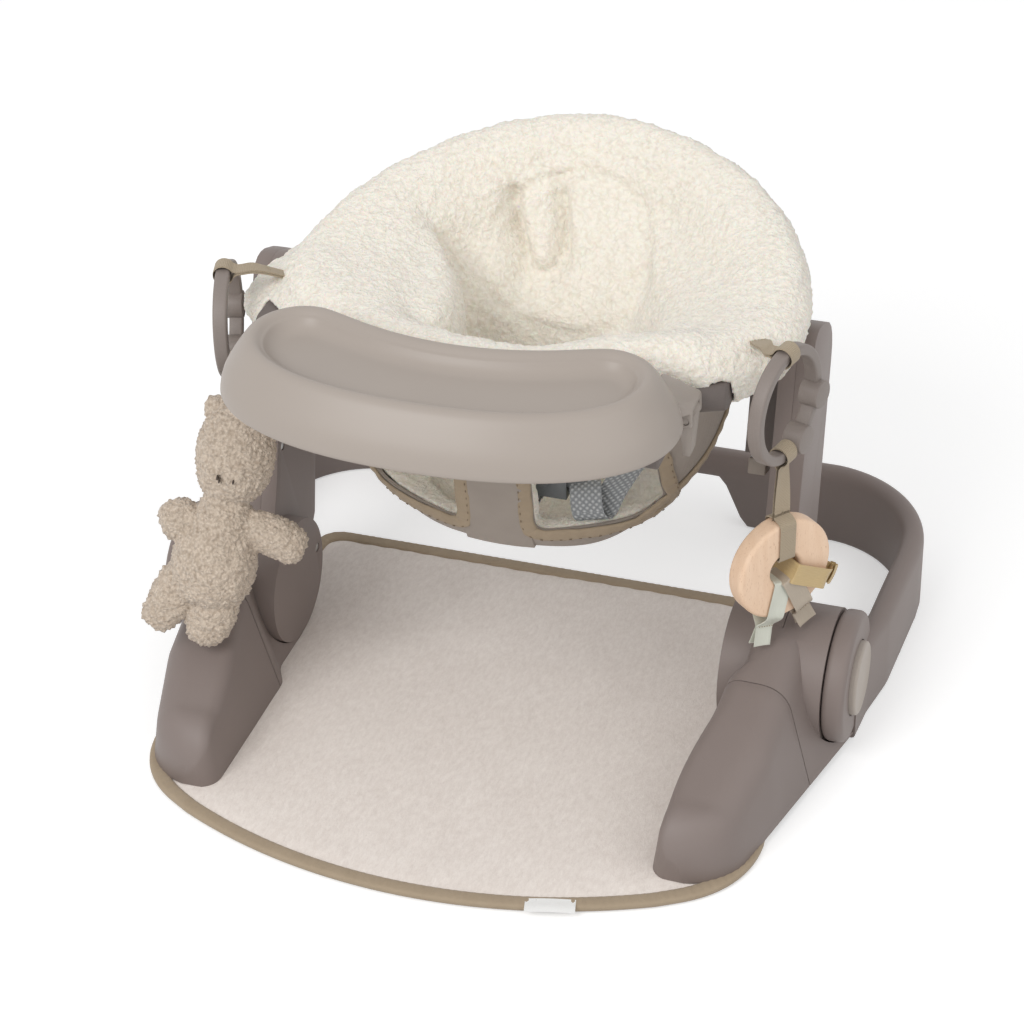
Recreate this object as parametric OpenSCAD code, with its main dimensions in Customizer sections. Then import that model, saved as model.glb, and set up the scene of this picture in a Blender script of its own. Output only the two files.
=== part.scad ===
/* [Mat] */
// Thickness of the padded floor mat
mat_t = 5; // [3:0.5:5.5]
// Half width of the mat at its sides
mat_half_w = 226; // [222:1:232]
// Radius of the curved front edge
mat_front_r = 400; // [370:5:440]
// Distance from the hub line to the front edge, at the middle
mat_front_y = 253; // [246:1:262]
// Distance from the hub line to the straight rear edge
mat_rear_y = 137; // [126:1:150]
// Half width of the straight rear edge
mat_rear_half = 204; // [190:1:215]
// Width of the sewn edge binding
binding_w = 11; // [8:0.5:14]
// Width of the small label at the front edge
label_w = 32; // [24:1:40]
// Distance of the label's middle from the middle of the mat
label_x = 105; // [60:1:110]

/* [Feet] */
// Inner face of a side foot, from the middle of the seat
foot_in_x = 159; // [156:0.5:162]
// Distance from the hub line to the tip of a foot
foot_front_y = 191; // [184:1:198]
// Height of a foot's flat crown where its nose starts
foot_nose_h = 52; // [46:1:58]
// Rise of the foot's top per unit of length, from nose to hub
foot_rise = 0.37; // [0.33:0.01:0.39]
// Half width of the object at the foot's outer lower edge, beside the hub
foot_out_x = 258; // [255:0.5:261]
// Distance from the hub line to the joint between nose cover and foot
nose_split_y = 67; // [60:1:80]
// Wall of the moulded foot shells
foot_wall = 3; // [2.5:0.25:4]
// Thickness of the plate that closes a foot from below
cover_t = 2.5; // [2:0.25:4]

/* [Hub] */
// Height of the hub line above the floor
hub_z = 54.5; // [54:0.5:58]
// Radius of the round hub discs
hub_r = 47.5; // [45:0.5:48]
// Radius of the hub axle
axle_r = 8; // [6:0.25:10]
// Radial running clearance on the axle
axle_fit = 0.05; // [0.02:0.01:0.1]
// Gap between parts that turn past each other
side_gap = 0.4; // [0.3:0.05:0.8]
// Radius of the round release button in the hub
button_r = 27; // [22:0.5:30]
// Travel of the release button
button_travel = 4; // [2:0.5:4.5]
// Thickness of the release button
button_t = 7.5; // [7:0.5:9]

/* [Rear loop] */
// Thickness of the loop's wall at the arms and the rear bar
loop_t = 17; // [15:0.5:19]
// Height of the loop
loop_h = 66; // [62:1:72]
// Distance from the hub line to the rear face of the loop
loop_rear_y = 255; // [248:1:268]
// Half width of the loop at its widest place
loop_half_w = 272; // [269:1:276]
// Corner radius of the loop, on its outer face
loop_corner_r = 92; // [80:1:100]
// Height of the arch under the rear bar
arch_h = 44; // [30:1:48]
// Half width of the arch
arch_half = 108; // [90:1:125]

/* [Uprights] */
// Inner face of the upright blade, from the middle of the seat
blade_in_x = 184; // [183:0.5:185]
// Thickness of one of the two blade shells
shell_t = 11.5; // [11:0.25:12]
// Backward lean of the uprights
lean = 15; // [13:0.5:17]
// Length of the blade above the hub
blade_len = 249; // [244:1:254]
// Distance of the blade's front edge in front of the hub, across the lean
blade_front = 9.6; // [8:0.2:12]
// Distance of the blade's rear edge behind the hub, at its top
blade_back = 58; // [55:0.5:61]
// Travel of the seat up the uprights
seat_travel = 30; // [10:5:32]
// Width of the guide slot for the seat carriage
slot_w = 16; // [12:0.5:18]
// Depth of the guide slot
slot_depth = 8; // [6:0.5:9]
// Clearance of the carriage in its slot
slot_fit = 0.3; // [0.2:0.05:0.5]

/* [Seat] */
// Height of the seat ring at the sides
ring_z = 290; // [282:1:298]
// Half width of the seat ring
ring_half_w = 165; // [163:0.5:167]
// Radius of the ring tube
ring_r = 8; // [6:0.5:9]
// Half width of the padded rim over its bulge
rim_half_w = 202; // [198:1:204]
// Height of the padded rim above the seat ring
rim_rise = 34; // [30:1:40]
// Extra height of the rim at the back of the seat
back_rise = 45; // [36:1:54]
// Thickness of the outer seat fabric
fabric_t = 3; // [2:0.5:4]
// Half width of the panel between the legs
crotch_half = 27; // [22:0.5:32]

/* [Tray] */
// Height of the tray's rim
tray_top_z = 340; // [336:1:344]
// Height of the tray's skirt
tray_skirt = 38; // [35:1:40]
// Half width of the tray's rim
tray_half_w = 139; // [136:0.5:141]
// Distance from the hub line to the front of the tray's rim
tray_front_y = 175; // [170:1:180]
// Wall of the moulded tray
tray_wall = 3; // [2.5:0.25:4]
// Depth of the dish below the rim
dish_depth = 12; // [9:1:13]

/* [Harness] */
// Width of the harness webbing
web_w = 20; // [16:1:25]
// Thickness of the harness webbing
web_t = 1.6; // [1.2:0.1:2.5]
// Width of the buckle
buckle_w = 36; // [32:1:42]

/* [Toys] */
// Radius of the link ring, at the middle of its section
link_r = 38; // [36:0.5:39]
// Radius of the link ring's section
link_section_r = 5; // [4.5:0.25:5.5]
// Outer radius of the wooden ring
wood_r = 38; // [34:0.5:40]
// Radius of the hole in the wooden ring
wood_hole_r = 12; // [10:0.5:14]
// Thickness of the wooden ring
wood_t = 15; // [12:0.5:18]
// Width of the toy tapes
tape_w = 13; // [10:0.5:15]
// Thickness of the toy tapes
tape_t = 1.4; // [1:0.1:2]

/* [Hidden] */
$fn = 48;
e = 0.01;

// ---- shared shapes ----

// Points on a circle from angle a0 to a1, both ends included
function arc(cx, cy, r, a0, a1, n) =
    [for (i = [0:n]) let (a = a0 + (a1 - a0) * i / n) [cx + r * cos(a), cy + r * sin(a)]];
// Smooth step from 0 to 1 while t goes from a to b
function ease(t, a, b) = let (s = min(1, max(0, (t - a) / (b - a)))) s * s * (3 - 2 * s);
// Rounds the corner c between the points a and b, r along each side, in n steps
function round_corner(a, c, b, r, n) =
    let (p = c + (a - c) * r / norm(a - c), q = c + (b - c) * r / norm(b - c))
    [for (i = [0:n]) let (s = i / n) p * (1 - s) * (1 - s) + c * 2 * s * (1 - s) + q * s * s];
// Outline of a band of thickness t along a line of 2D points
function band(line, t) =
    let (n = len(line) - 1,
         dir = [for (i = [0:n]) let (d = line[min(n, i + 1)] - line[max(0, i - 1)]) d / norm(d)],
         side = [for (i = [0:n]) [-dir[i][1], dir[i][0]] * t / 2])
    concat([for (i = [0:n]) line[i] + side[i]], [for (i = [n:-1:0]) line[i] - side[i]]);
// Ring of n points round the seat: half width, front and back y, then its height at the front, sides and back
function oval(w, y_front, y_back, z_front, z_side, z_back, n) =
    let (mid = y_front + (y_back - y_front) * 0.36)
    [for (i = [0:n - 1]) let (a = 360 * i / n, f = -cos(a))
        [w * sin(a), mid + f * (f < 0 ? mid - y_front : y_back - mid),
         f < 0 ? z_side + (z_front - z_side) * f * f : z_side + (z_back - z_side) * pow(f, 1.35)]];

// Closed skin through rings with equal numbers of points, capped at both ends
module skin(rings) {
    n = len(rings[0]);
    m = len(rings);
    polyhedron(
        points = [for (r = rings) for (p = r) p],
        faces = concat(
            [[for (j = [n - 1:-1:0]) j]],
            [for (i = [0:m - 2]) for (j = [0:n - 1]) [i * n + j, i * n + (j + 1) % n, (i + 1) * n + j]],
            [for (i = [0:m - 2]) for (j = [0:n - 1])
                [i * n + (j + 1) % n, (i + 1) * n + (j + 1) % n, (i + 1) * n + j]],
            [[for (j = [0:n - 1]) (m - 1) * n + j]]
        ),
        convexity = 6);
}
// Closed skin through a closed loop of rings
module loop_skin(rings) {
    n = len(rings[0]);
    m = len(rings);
    polyhedron(
        points = [for (r = rings) for (p = r) p],
        faces = concat(
            [for (i = [0:m - 1]) for (j = [0:n - 1]) let (k = (i + 1) % m) [i * n + j, i * n + (j + 1) % n, k * n + j]],
            [for (i = [0:m - 1]) for (j = [0:n - 1]) let (k = (i + 1) % m)
                [i * n + (j + 1) % n, k * n + (j + 1) % n, k * n + j]]
        ),
        convexity = 8);
}
// The right-hand piece for side 1 and its mirror image for side -1
module on_side(side) mirror([side < 0 ? 1 : 0, 0, 0]) children();
// Extrudes a y, z outline along x
module along_x(x0, x1) translate([x0, 0, 0]) rotate([90, 0, 90]) linear_extrude(x1 - x0) children();
// Cylinder along x at the hub line
module hub_cyl(x0, x1, r) translate([x0, 0, hub_z]) rotate([0, 90, 0]) cylinder(h = x1 - x0, r = r, $fn = 96);
// Frame of the leaning blade: y across it, z along it, from the hub line
module in_blade() translate([0, 0, hub_z]) rotate([-lean, 0, 0]) children();

// ---- mat ----

function mat_outline(inset) =
    let (cy = mat_front_r - mat_front_y, r = mat_front_r - inset, w = mat_half_w - inset,
         corner = 46, rear_r = 16,
         xf = w - 6, yf = cy - sqrt(r * r - xf * xf),
         edge = asin((xf - corner) / r),
         front = [for (i = [0:12]) let (a = -90 - edge + 2 * edge * i / 12) [r * cos(a), cy + r * sin(a)]],
         turn = round_corner([(xf - corner), cy - sqrt(r * r - pow(xf - corner, 2))], [xf + 5, yf + 4],
                             [w, -60], 44, 5),
         rear = round_corner([w, -60], [mat_rear_half - inset, mat_rear_y - inset], [0, mat_rear_y - inset],
                             rear_r, 4),
         right = concat(turn, rear),
         left = [for (i = [len(right) - 1:-1:0]) [-right[i][0], right[i][1]]])
    concat(front, right, left);

module mat_pad() color([0.84, 0.79, 0.76]) linear_extrude(mat_t) polygon(mat_outline(binding_w));

module mat_binding() color([0.65, 0.58, 0.49]) linear_extrude(mat_t) difference() {
    polygon(mat_outline(0));
    polygon(mat_outline(binding_w));
}

label_t = 0.6;
module mat_label() color("white")
    translate([label_x, -mat_front_y + 15.5, mat_t]) rotate([0, 0, 14])
        translate([-label_w / 2, -binding_w / 2, 0]) cube([label_w, binding_w - 1, label_t]);

// ---- side feet ----

pocket_r = hub_r + 1;
disc_in_x = foot_in_x + 9;
disc_out_x = blade_in_x + 2 * shell_t;
hub_wall_in = disc_out_x + side_gap;
boss_in_x = 242;
hub_wall_out = boss_in_x - side_gap;
boss_out_x = 258;

// Cross-section of the foot at the distance d in front of the hub line, drawn in by an inset
foot_taper = 0.245;
foot_draft = 0.31;
foot_top_half = 63;
function foot_section(d, inset) =
    let (tip = foot_front_y - inset - d,
         r_in = 14, r_out = 34, r_top = 30,
         lead = max(0, r_in - tip), trail = max(0, r_out - tip), down = max(0, r_top - tip),
         out_x = foot_out_x - foot_taper * d,
         recess = disc_in_x - foot_in_x + side_gap,
         xi = foot_in_x + recess * (1 - ease(d, 42, 66)) + r_in - sqrt(r_in * r_in - lead * lead) + inset,
         xo = out_x - r_out + sqrt(r_out * r_out - trail * trail) - inset,
         crown = foot_nose_h + (foot_front_y - r_top - min(max(d, 30), foot_front_y - r_top)) * foot_rise,
         top = crown - (foot_nose_h - mat_t - 12) * (1 - sqrt(1 - pow(down / r_top, 2))) - inset,
         xit = xi + foot_draft * (1 - 0.55 * ease(d, 60, 150)) * min(73, top - mat_t),
         xt = max(xit + 6, min(foot_in_x + foot_top_half, out_x - 8) + (xo - out_x)),
         a = [xi, mat_t], b = [xit, top], c = [xt, top - 1], f = [xo, mat_t],
         rr = min(13, (xt - xit) * 0.4))
    [for (p = concat([a], [f], round_corner(f, c, b, rr * 1.5, 5), round_corner(c, b, a, rr * 0.8, 4)))
        [p[0], -d, p[1]]];

module foot_form(d0, d1, inset, steps)
    skin([for (i = [0:steps]) foot_section(d1 + (d0 - d1) * i / steps, inset)]);
// The nose gets closer sections towards its tip
module nose_form(d0, inset, steps)
    skin([for (i = [0:steps]) let (s = i / steps)
        foot_section(d0 + (foot_front_y - inset - 0.6 - d0) * (1 - pow(s, 2.2)), inset)]);

split_gap = 0.4;
module foot(side) color([0.52, 0.48, 0.46]) on_side(side) difference() {
    union() {
        difference() {
            foot_form(1, nose_split_y - split_gap, 0, 5);
            difference() {
                foot_form(foot_wall, nose_split_y + 1, foot_wall, 5);
                hub_cyl(foot_in_x - 1, boss_in_x + 30, pocket_r + foot_wall);
            }
            translate([foot_in_x, -nose_split_y, mat_t - e])
                cube([foot_out_x, nose_split_y - pocket_r + 4, cover_t + e]);
        }
        hub_cyl(hub_wall_in, hub_wall_out, hub_r);
    }
    hub_cyl(foot_in_x - 1, hub_wall_in, pocket_r);
    hub_cyl(hub_wall_out, foot_out_x + 20, pocket_r);
    hub_cyl(hub_wall_in - 1, hub_wall_out + 1, axle_r);
}

screw_r = 3.2;
screw_fit = 0.05;
screw_len = 14;
post_r = 6.5;
module nose_screw_spots() for (d = [92, 146]) translate([foot_in_x + 32, -d, mat_t]) children();
module foot_nose(side) color([0.52, 0.48, 0.46]) on_side(side) difference() {
    nose_form(nose_split_y + split_gap, 0, 9);
    difference() {
        translate([0, 0, -e]) nose_form(nose_split_y - 1, foot_wall, 9);
        nose_screw_spots() translate([0, 0, cover_t + cover_fit]) cylinder(h = 60, r = post_r);
    }
    nose_screw_spots() cylinder(h = screw_len + 1, r = screw_r + screw_fit);
}

cover_fit = 0.3;
module base_covers() color([0.3, 0.28, 0.27]) for (side = [-1, 1]) on_side(side) difference() {
    intersection() {
        nose_form(nose_split_y + split_gap + cover_fit, foot_wall + cover_fit, 9);
        translate([0, -foot_front_y, mat_t]) cube([foot_out_x + 10, foot_front_y, cover_t]);
    }
    nose_screw_spots() translate([0, 0, -1]) cylinder(h = cover_t + 2, r = screw_r + screw_fit);
}

module base_screws() color([0.75, 0.77, 0.8]) for (side = [-1, 1]) on_side(side)
    nose_screw_spots() cylinder(h = screw_len, r = screw_r);

axle_in_x = disc_in_x + 4;
button_rise = 5;
button_in_x = boss_out_x + button_rise - button_t + 1;
button_floor_x = button_in_x - button_travel - 1.5;
module hub_axles() color([0.7, 0.7, 0.72]) for (side = [-1, 1]) on_side(side)
    hub_cyl(axle_in_x, button_floor_x, axle_r);

// ---- rear loop ----

// Centre line of the right half of the loop, from the hub to the middle of the rear
loop_mid_x = loop_half_w - loop_t / 2;
loop_mid_y = loop_rear_y - loop_t / 2;
loop_bend = loop_corner_r - loop_t / 2;
loop_half_line = concat(
    [[boss_in_x + loop_t / 2, 0], [boss_in_x + loop_t / 2 + 2, 30], [boss_in_x + loop_t / 2 + 9, 68],
     [loop_mid_x - 2.5, 105], [loop_mid_x, loop_mid_y - loop_bend - 10]],
    arc(loop_mid_x - loop_bend, loop_mid_y - loop_bend, loop_bend, 6, 84, 8),
    [[arch_half + 14, loop_mid_y], [arch_half, loop_mid_y], [arch_half - 14, loop_mid_y], [50, loop_mid_y]]);
loop_line = concat(loop_half_line,
    [for (i = [len(loop_half_line) - 1:-1:0]) [-loop_half_line[i][0], loop_half_line[i][1]]]);

// Cross-section of the loop at a point of its centre line
function loop_section(i) =
    let (n = len(loop_line) - 1, p = loop_line[i],
         d = loop_line[min(n, i + 1)] - loop_line[max(0, i - 1)],
         s = [d[1], -d[0]] / norm(d), h = loop_t / 2,
         z0 = arch_h * (p[1] > loop_mid_y - 5 ? ease(arch_half + 12 - abs(p[0]), 0, 26) : 0))
    [for (q = [[-h, z0], [h, z0], [h, loop_h - 12], [h - 1.5, loop_h - 6], [h - 4.5, loop_h - 1.5], [0, loop_h],
               [4.5 - h, loop_h - 1.5], [1.5 - h, loop_h - 6], [-h, loop_h - 12]])
        [p[0] + s[0] * q[0], p[1] + s[1] * q[0], q[1]]];

module rear_loop() color([0.52, 0.48, 0.46]) difference() {
    union() {
        skin([for (i = [0:len(loop_line) - 1]) loop_section(i)]);
        for (side = [-1, 1]) on_side(side) hub_cyl(boss_in_x, boss_out_x, hub_r);
    }
    for (side = [-1, 1]) on_side(side) {
        hub_cyl(button_floor_x, boss_out_x + 10, button_r + 0.4);
        hub_cyl(boss_in_x - 1, boss_out_x, axle_r + axle_fit);
        translate([boss_out_x - 20, -hub_r - 5, -e]) cube([40, hub_r + 5 - 1, hub_z - hub_r]);
    }
    for (side = [-1, 1]) on_side(side) for (y = pad_ys)
        translate([loop_mid_x, y, -e]) cylinder(h = pad_sink, r = pad_r + pad_fit);
}

pad_r = 6;
pad_ys = [110, 150];
pad_sink = 2;
pad_fit = 0.1;
module loop_pads() color([0.2, 0.2, 0.2]) for (side = [-1, 1]) on_side(side) for (y = pad_ys)
    translate([loop_mid_x, y, 0]) cylinder(h = pad_sink - e, r = pad_r);

module hub_button(side) color([0.69, 0.65, 0.61]) on_side(side) difference() {
    union() {
        hub_cyl(button_in_x, boss_out_x + button_rise - 1.5, button_r);
        hub_cyl(boss_out_x + button_rise - 1.5 - e, boss_out_x + button_rise, button_r - 2);
    }
    hub_cyl(button_floor_x - 1, boss_out_x + button_rise - 3, axle_r + 2);
}

// ---- uprights ----

// Outline of the blade, drawn in by an inset: y across, z along
blade_taper = 11;
function blade_outline(inset) =
    let (f = blade_front - inset, b = blade_back - inset, top = blade_len - inset, root = hub_r - 1 - inset)
    concat([[-root * 0.94, 15], [-f - 3, 46], [-f, 80], [-f, top - 28]],
           round_corner([-f, top - 28], [-f, top], [14, top], 20, 5),
           round_corner([14, top], [b - 2, top - 6], [b, top - 46], 30, 5),
           [[b + blade_taper, 30], [b + blade_taper - 9, 8], [root * 0.8, -root * 0.55]]);

cavity_low = hub_r + 6;
module upright_outer(side) color([0.52, 0.48, 0.46]) on_side(side) in_blade() difference() {
    union() {
        along_x(blade_in_x + shell_t, disc_out_x) polygon(blade_outline(0));
        translate([blade_in_x + shell_t, 0, 0]) rotate([0, 90, 0]) cylinder(h = shell_t, r = hub_r, $fn = 96);
    }
    along_x(blade_in_x + shell_t - 1, disc_out_x - foot_wall) intersection() {
        polygon(blade_outline(foot_wall));
        translate([-hub_r, cavity_low]) square([3 * hub_r, blade_len]);
    }
    translate([axle_in_x, 0, 0]) rotate([0, 90, 0]) cylinder(h = 60, r = axle_r + axle_fit, $fn = 96);
}

blade_mid = 24;
tongue_high = 204;
tongue_len = 52;
slot_high = tongue_high + seat_travel + slot_fit;
slot_low = tongue_high - tongue_len - slot_fit;
screw_spots = [[0, 104], [4, 200], [54, 96]];
disc_screw = [36, 14];
module upright_inner(side) color([0.50, 0.46, 0.44]) on_side(side) in_blade() difference() {
    union() {
        along_x(blade_in_x, blade_in_x + shell_t) polygon(blade_outline(0));
        translate([disc_in_x, 0, 0]) rotate([0, 90, 0])
            cylinder(h = blade_in_x + shell_t - disc_in_x, r = hub_r, $fn = 96);
    }
    translate([blade_in_x - 1, blade_mid - slot_w / 2, slot_low]) cube([slot_depth + 1, slot_w, slot_high - slot_low]);
    along_x(blade_in_x + foot_wall, blade_in_x + shell_t + 1) intersection() {
        polygon(blade_outline(foot_wall));
        translate([-hub_r, cavity_low]) square([3 * hub_r, slot_low - 6 - cavity_low]);
    }
    translate([axle_in_x, 0, 0]) rotate([0, 90, 0]) cylinder(h = 60, r = axle_r + axle_fit, $fn = 96);
    for (s = screw_spots) translate([blade_in_x - 1, s[0], s[1]]) rotate([0, 90, 0]) cylinder(h = 3, r = screw_r + 0.3);
    translate([disc_in_x - 1, disc_screw[0], disc_screw[1]]) rotate([0, 90, 0]) cylinder(h = 3, r = screw_r + 0.3);
}

module upright_screws() color([0.75, 0.77, 0.8]) for (side = [-1, 1]) on_side(side) in_blade() {
    for (s = screw_spots) translate([blade_in_x + 0.6, s[0], s[1]]) rotate([0, 90, 0]) cylinder(h = 1.4, r = screw_r);
    translate([disc_in_x + 0.6, disc_screw[0], disc_screw[1]]) rotate([0, 90, 0]) cylinder(h = 1.4, r = screw_r);
}

// ---- seat ----

// The seat's rings, from the rim inwards: half width, front y, back y, then front, side and back height
rim_z = ring_z + rim_rise;
back_z = rim_z + back_rise;
n_rim = 40;
bulge = rim_half_w;
plush_top = [
    [30, 12, 60, 141, 137, 134],
    [60, -8, 84, 150, 147, 146],
    [74, -16, 98, 176, 182, 190],
    [84, -22, 112, 232, 240, 250],
    [96, -27, 142, 270, 284, 292],
    [118, -33, 168, rim_z - 22, rim_z - 16, rim_z - 2],
    [146, -42, 186, rim_z - 10, rim_z - 5, back_z - 14],
    [bulge - 26, -58, 200, rim_z - 6, rim_z, back_z - 2],
    [bulge - 9, -70, 213, rim_z - 12, rim_z - 8, back_z - 8],
    [bulge, -79, 221, ring_z + 10, ring_z + 12, ring_z + 48],
    [bulge - 6, -76, 217, ring_z - 11, ring_z - 12, ring_z + 20],
    [bulge - 15, -68, 208, ring_z - 11, ring_z - 12, ring_z + 20]
];
// Over the ring tube and down its inner side
over_ring = [
    [ring_half_w + 13, -64, 207, ring_z + 4, ring_z + 4, ring_z + 38],
    [ring_half_w, -52, 194, ring_z + 13, ring_z + 13, ring_z + 48],
    [ring_half_w - 13, -40, 181, ring_z + 2, ring_z + 2, ring_z + 34]
];
sling = [
    [150, -38, 178, 262, 262, 306],
    [144, -32, 166, 228, 232, 262],
    [130, -27, 144, 190, 196, 214],
    [104, -22, 118, 158, 160, 165],
    [68, -13, 90, 136, 131, 130],
    [28, 12, 58, 127, 121, 120]
];
function level(l) = oval(l[0], l[1], l[2], l[3], l[4], l[5], n_rim);
// The sling's rings moved outwards and down by t
function grown(l, t) = [l[0] + t, l[1] - t, l[2] + t, l[3] - t, l[4] - t, l[5] - t];

ring_levels = [ring_half_w, -52, 194, ring_z, ring_z, ring_z + 35];
module seat_ring() color([0.45, 0.42, 0.4]) {
    line = level(ring_levels);
    loop_skin([for (i = [0:n_rim - 1]) let (
        d = line[(i + 1) % n_rim] - line[(i + n_rim - 1) % n_rim],
        s = [d[1], -d[0], 0] / norm([d[1], -d[0]]))
        [for (k = [0:7]) line[i] + s * ring_r * cos(45 * k) + [0, 0, ring_r * sin(45 * k)]]]);
}

// Space swept by one blade as the seat goes up
plush_gap = 0.5;
module blade_path(gap) in_blade() translate([blade_in_x - gap, -blade_front - gap, 120])
    cube([60, blade_front + blade_back + blade_taper + 2 * gap, blade_len - 120 + gap]);

carriage_in_x = ring_half_w - 4;
carriage_half = 14;
carriage_low = tongue_high - tongue_len - 2;
carriage_high = 240;
module carriage_block(gap) in_blade() translate([carriage_in_x - gap, blade_mid - carriage_half - gap, carriage_low - gap])
    cube([blade_in_x - side_gap - carriage_in_x + 2 * gap, 2 * (carriage_half + gap), carriage_high - carriage_low + 2 * gap]);
module carriage(side) color([0.4, 0.37, 0.36]) on_side(side) {
    carriage_block(0);
    in_blade() translate([blade_in_x - side_gap - 1, blade_mid + slot_fit - slot_w / 2, tongue_high - tongue_len])
        cube([slot_depth - slot_fit + side_gap + 1, slot_w - 2 * slot_fit, tongue_len]);
}

latch_travel = 4;
latch_h = 12;
module height_latch(side) color([0.69, 0.65, 0.61]) on_side(side) in_blade()
    translate([carriage_in_x + 2, blade_mid - 9, carriage_low - latch_travel - latch_h - 1]) cube([13, 18, latch_h]);

// Prism through the front of the seat that leaves a leg hole, drawn in by an inset
leg_top = 262;
function leg_outline(i) = [[crotch_half + 1 + i, 151 + i], [102 - i, 163 + i], [114 - i, 176 + i],
                           [112 - i, 215], [100 - i, leg_top - 12 - i], [88 - i, leg_top - i],
                           [crotch_half + 1 + i, leg_top - i]];
module leg_hole(side, inset) on_side(side) translate([0, 24, 0]) rotate([90, 0, 0])
    linear_extrude(140) polygon(leg_outline(inset));

sling_gap = 0.8;
module sling_form(t) skin([for (l = sling) level(grown(l, t))]);
module seat_bucket() color([0.61, 0.57, 0.54]) difference() {
    skin(concat([for (i = [len(sling) - 1:-1:0]) level(grown(sling[i], sling_gap))], [for (l = sling) level(grown(l, fabric_t))]));
    for (side = [-1, 1]) leg_hole(side, 0);
}

module plush_cover() color([0.94, 0.92, 0.87]) difference() {
    skin(concat([for (l = plush_top) level(l)], [for (l = over_ring) level(l)], [for (l = sling) level(l)]));
    for (side = [-1, 1]) {
        leg_hole(side, 0);
        on_side(side) blade_path(plush_gap);
        on_side(side) carriage_block(0.3);
        on_side(side) arm_block(0.3);
    }
}

piping_w = 9;
piping_t = 2.5;
module leg_bindings() color([0.65, 0.58, 0.49]) difference() {
    intersection() {
        sling_form(fabric_t + piping_t);
        union() for (side = [-1, 1]) difference() {
            leg_hole(side, -piping_w + 2);
            leg_hole(side, 0);
        }
        translate([-200, -150, 100]) cube([400, 150, 165]);
    }
    sling_form(fabric_t);
    translate([1.4 - crotch_half, -150, 0]) cube([2 * crotch_half - 2.8, 200, 400]);
}

module crotch_panel() color([0.58, 0.54, 0.51]) difference() {
    intersection() {
        sling_form(fabric_t + 2);
        translate([1.7 - crotch_half, -150, 132]) cube([2 * crotch_half - 3.4, 150, 124]);
    }
    sling_form(fabric_t);
}

// ---- harness ----

buckle = [27, 4, 182];
buckle_h = 30;
buckle_t = 11;
module webbing(line, y) translate([0, y + web_w / 2, 0]) rotate([90, 0, 0]) linear_extrude(web_w) polygon(band(line, web_t));

right_web = [[buckle[0] + 31, 181], [buckle[0] + 38, 172], [buckle[0] + 43, 166], [buckle[0] + 49, 167],
             [buckle[0] + 54, 176], [buckle[0] + 62, 192], [buckle[0] + 69, 206]];
left_web = [[buckle[0] - 31, 182], [-14, 176], [-28, 172], [-44, 176], [-58, 190], [-66, 204]];
module waist_strap_right() color([0.6, 0.61, 0.63]) webbing(right_web, buckle[1]);
module waist_strap_left() color([0.6, 0.61, 0.63]) webbing(left_web, buckle[1]);
module crotch_strap() color([0.6, 0.61, 0.63])
    webbing([[14, 152.5], [20, 158], [25, 163], [buckle[0], buckle[2] - buckle_h / 2 - 0.9]], buckle[1]);

tongue_gap = 0.3;
module buckle_body() color([0.42, 0.43, 0.44]) translate(buckle) difference() {
    cube([buckle_w, buckle_t, buckle_h], center = true);
    for (side = [-1, 1]) on_side(side) translate([buckle_w / 2 - 10, -3 - tongue_gap, -6 - tongue_gap])
        cube([11, 6 + 2 * tongue_gap, 12 + 2 * tongue_gap]);
    translate([0, -buckle_t / 2, 0]) rotate([90, 0, 0]) cylinder(h = 9, r = 6.4, center = true);
}
module buckle_tongue(side) color([0.42, 0.43, 0.44]) translate(buckle) on_side(side) {
    translate([buckle_w / 2 - 9.5, -3, -6]) cube([11, 6, 12]);
    translate([buckle_w / 2 + 0.5, -3, -11]) cube([11, 6, 22]);
}
module buckle_button() color([0.36, 0.37, 0.38]) translate([buckle[0], buckle[1] - buckle_t / 2, buckle[2]])
    rotate([90, 0, 0]) translate([0, 0, -0.8]) cylinder(h = 2.4, r = 6.2);

// ---- tray ----

tray_low_z = tray_top_z - tray_skirt;
arm_in_x = 132;
arm_t = 14;
arm_top_z = tray_low_z - 0.5;
arm_h = 16;
arm_front_y = 122;
arm_eye_z = ring_z + 0.5;
eye_r = 11;
module arm_block(gap) {
    translate([arm_in_x - gap, -arm_front_y - gap, arm_top_z - arm_h - gap])
        cube([arm_t + 2 * gap, arm_front_y - 44 + 2 * gap, arm_h + 2 * gap]);
    hull() {
        translate([arm_in_x - gap, -50, arm_top_z - arm_h - gap]) cube([arm_t + 2 * gap, 6 + gap, arm_h + 2 * gap]);
        for (y = [-27, -6]) translate([ring_half_w - 9, y, arm_eye_z])
            rotate([0, 90, 0]) cylinder(h = 12 + gap, r = eye_r + gap, $fn = 32);
    }
}
module tray_arm(side) color([0.55, 0.52, 0.48]) on_side(side) arm_block(0);

// Outline of the tray's rim, drawn in by an inset, from the right end round the back and the left to the front.
// The flare moves its front and its ends outwards
tray_flare = 18;
horn_r = 36;
tray_back_y = 91;
horn_y = 104;
function swell(v) = sign(v) * pow(abs(v), 0.88);
function tray_outline(inset, flare) =
    let (hx = tray_half_w - horn_r, hy = -horn_y,
         w = tray_half_w - inset + flare, f = tray_front_y - inset + flare,
         horn = [for (i = [0:7]) let (a = 16 * i, r = horn_r - inset + flare * max(0, cos(a)))
                 [hx + r * cos(a), hy + r * sin(a)]],
         back = [for (i = [1:7]) let (x = (hx - 20) * (1 - i / 4))
                 [x, -tray_back_y - inset + 17 * pow(abs(x / (hx - 20)), 2)]],
         front = [for (i = [1:14]) let (a = 12 * i) [-w * swell(cos(a)), hy - (f + hy) * swell(sin(a))]])
    concat(horn, back, [for (i = [7:-1:0]) [-horn[i][0], horn[i][1]]], front);
function tray_ring(inset, flare, z) = [for (p = tray_outline(inset, flare)) [p[0], p[1], tray_top_z + z]];

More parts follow.
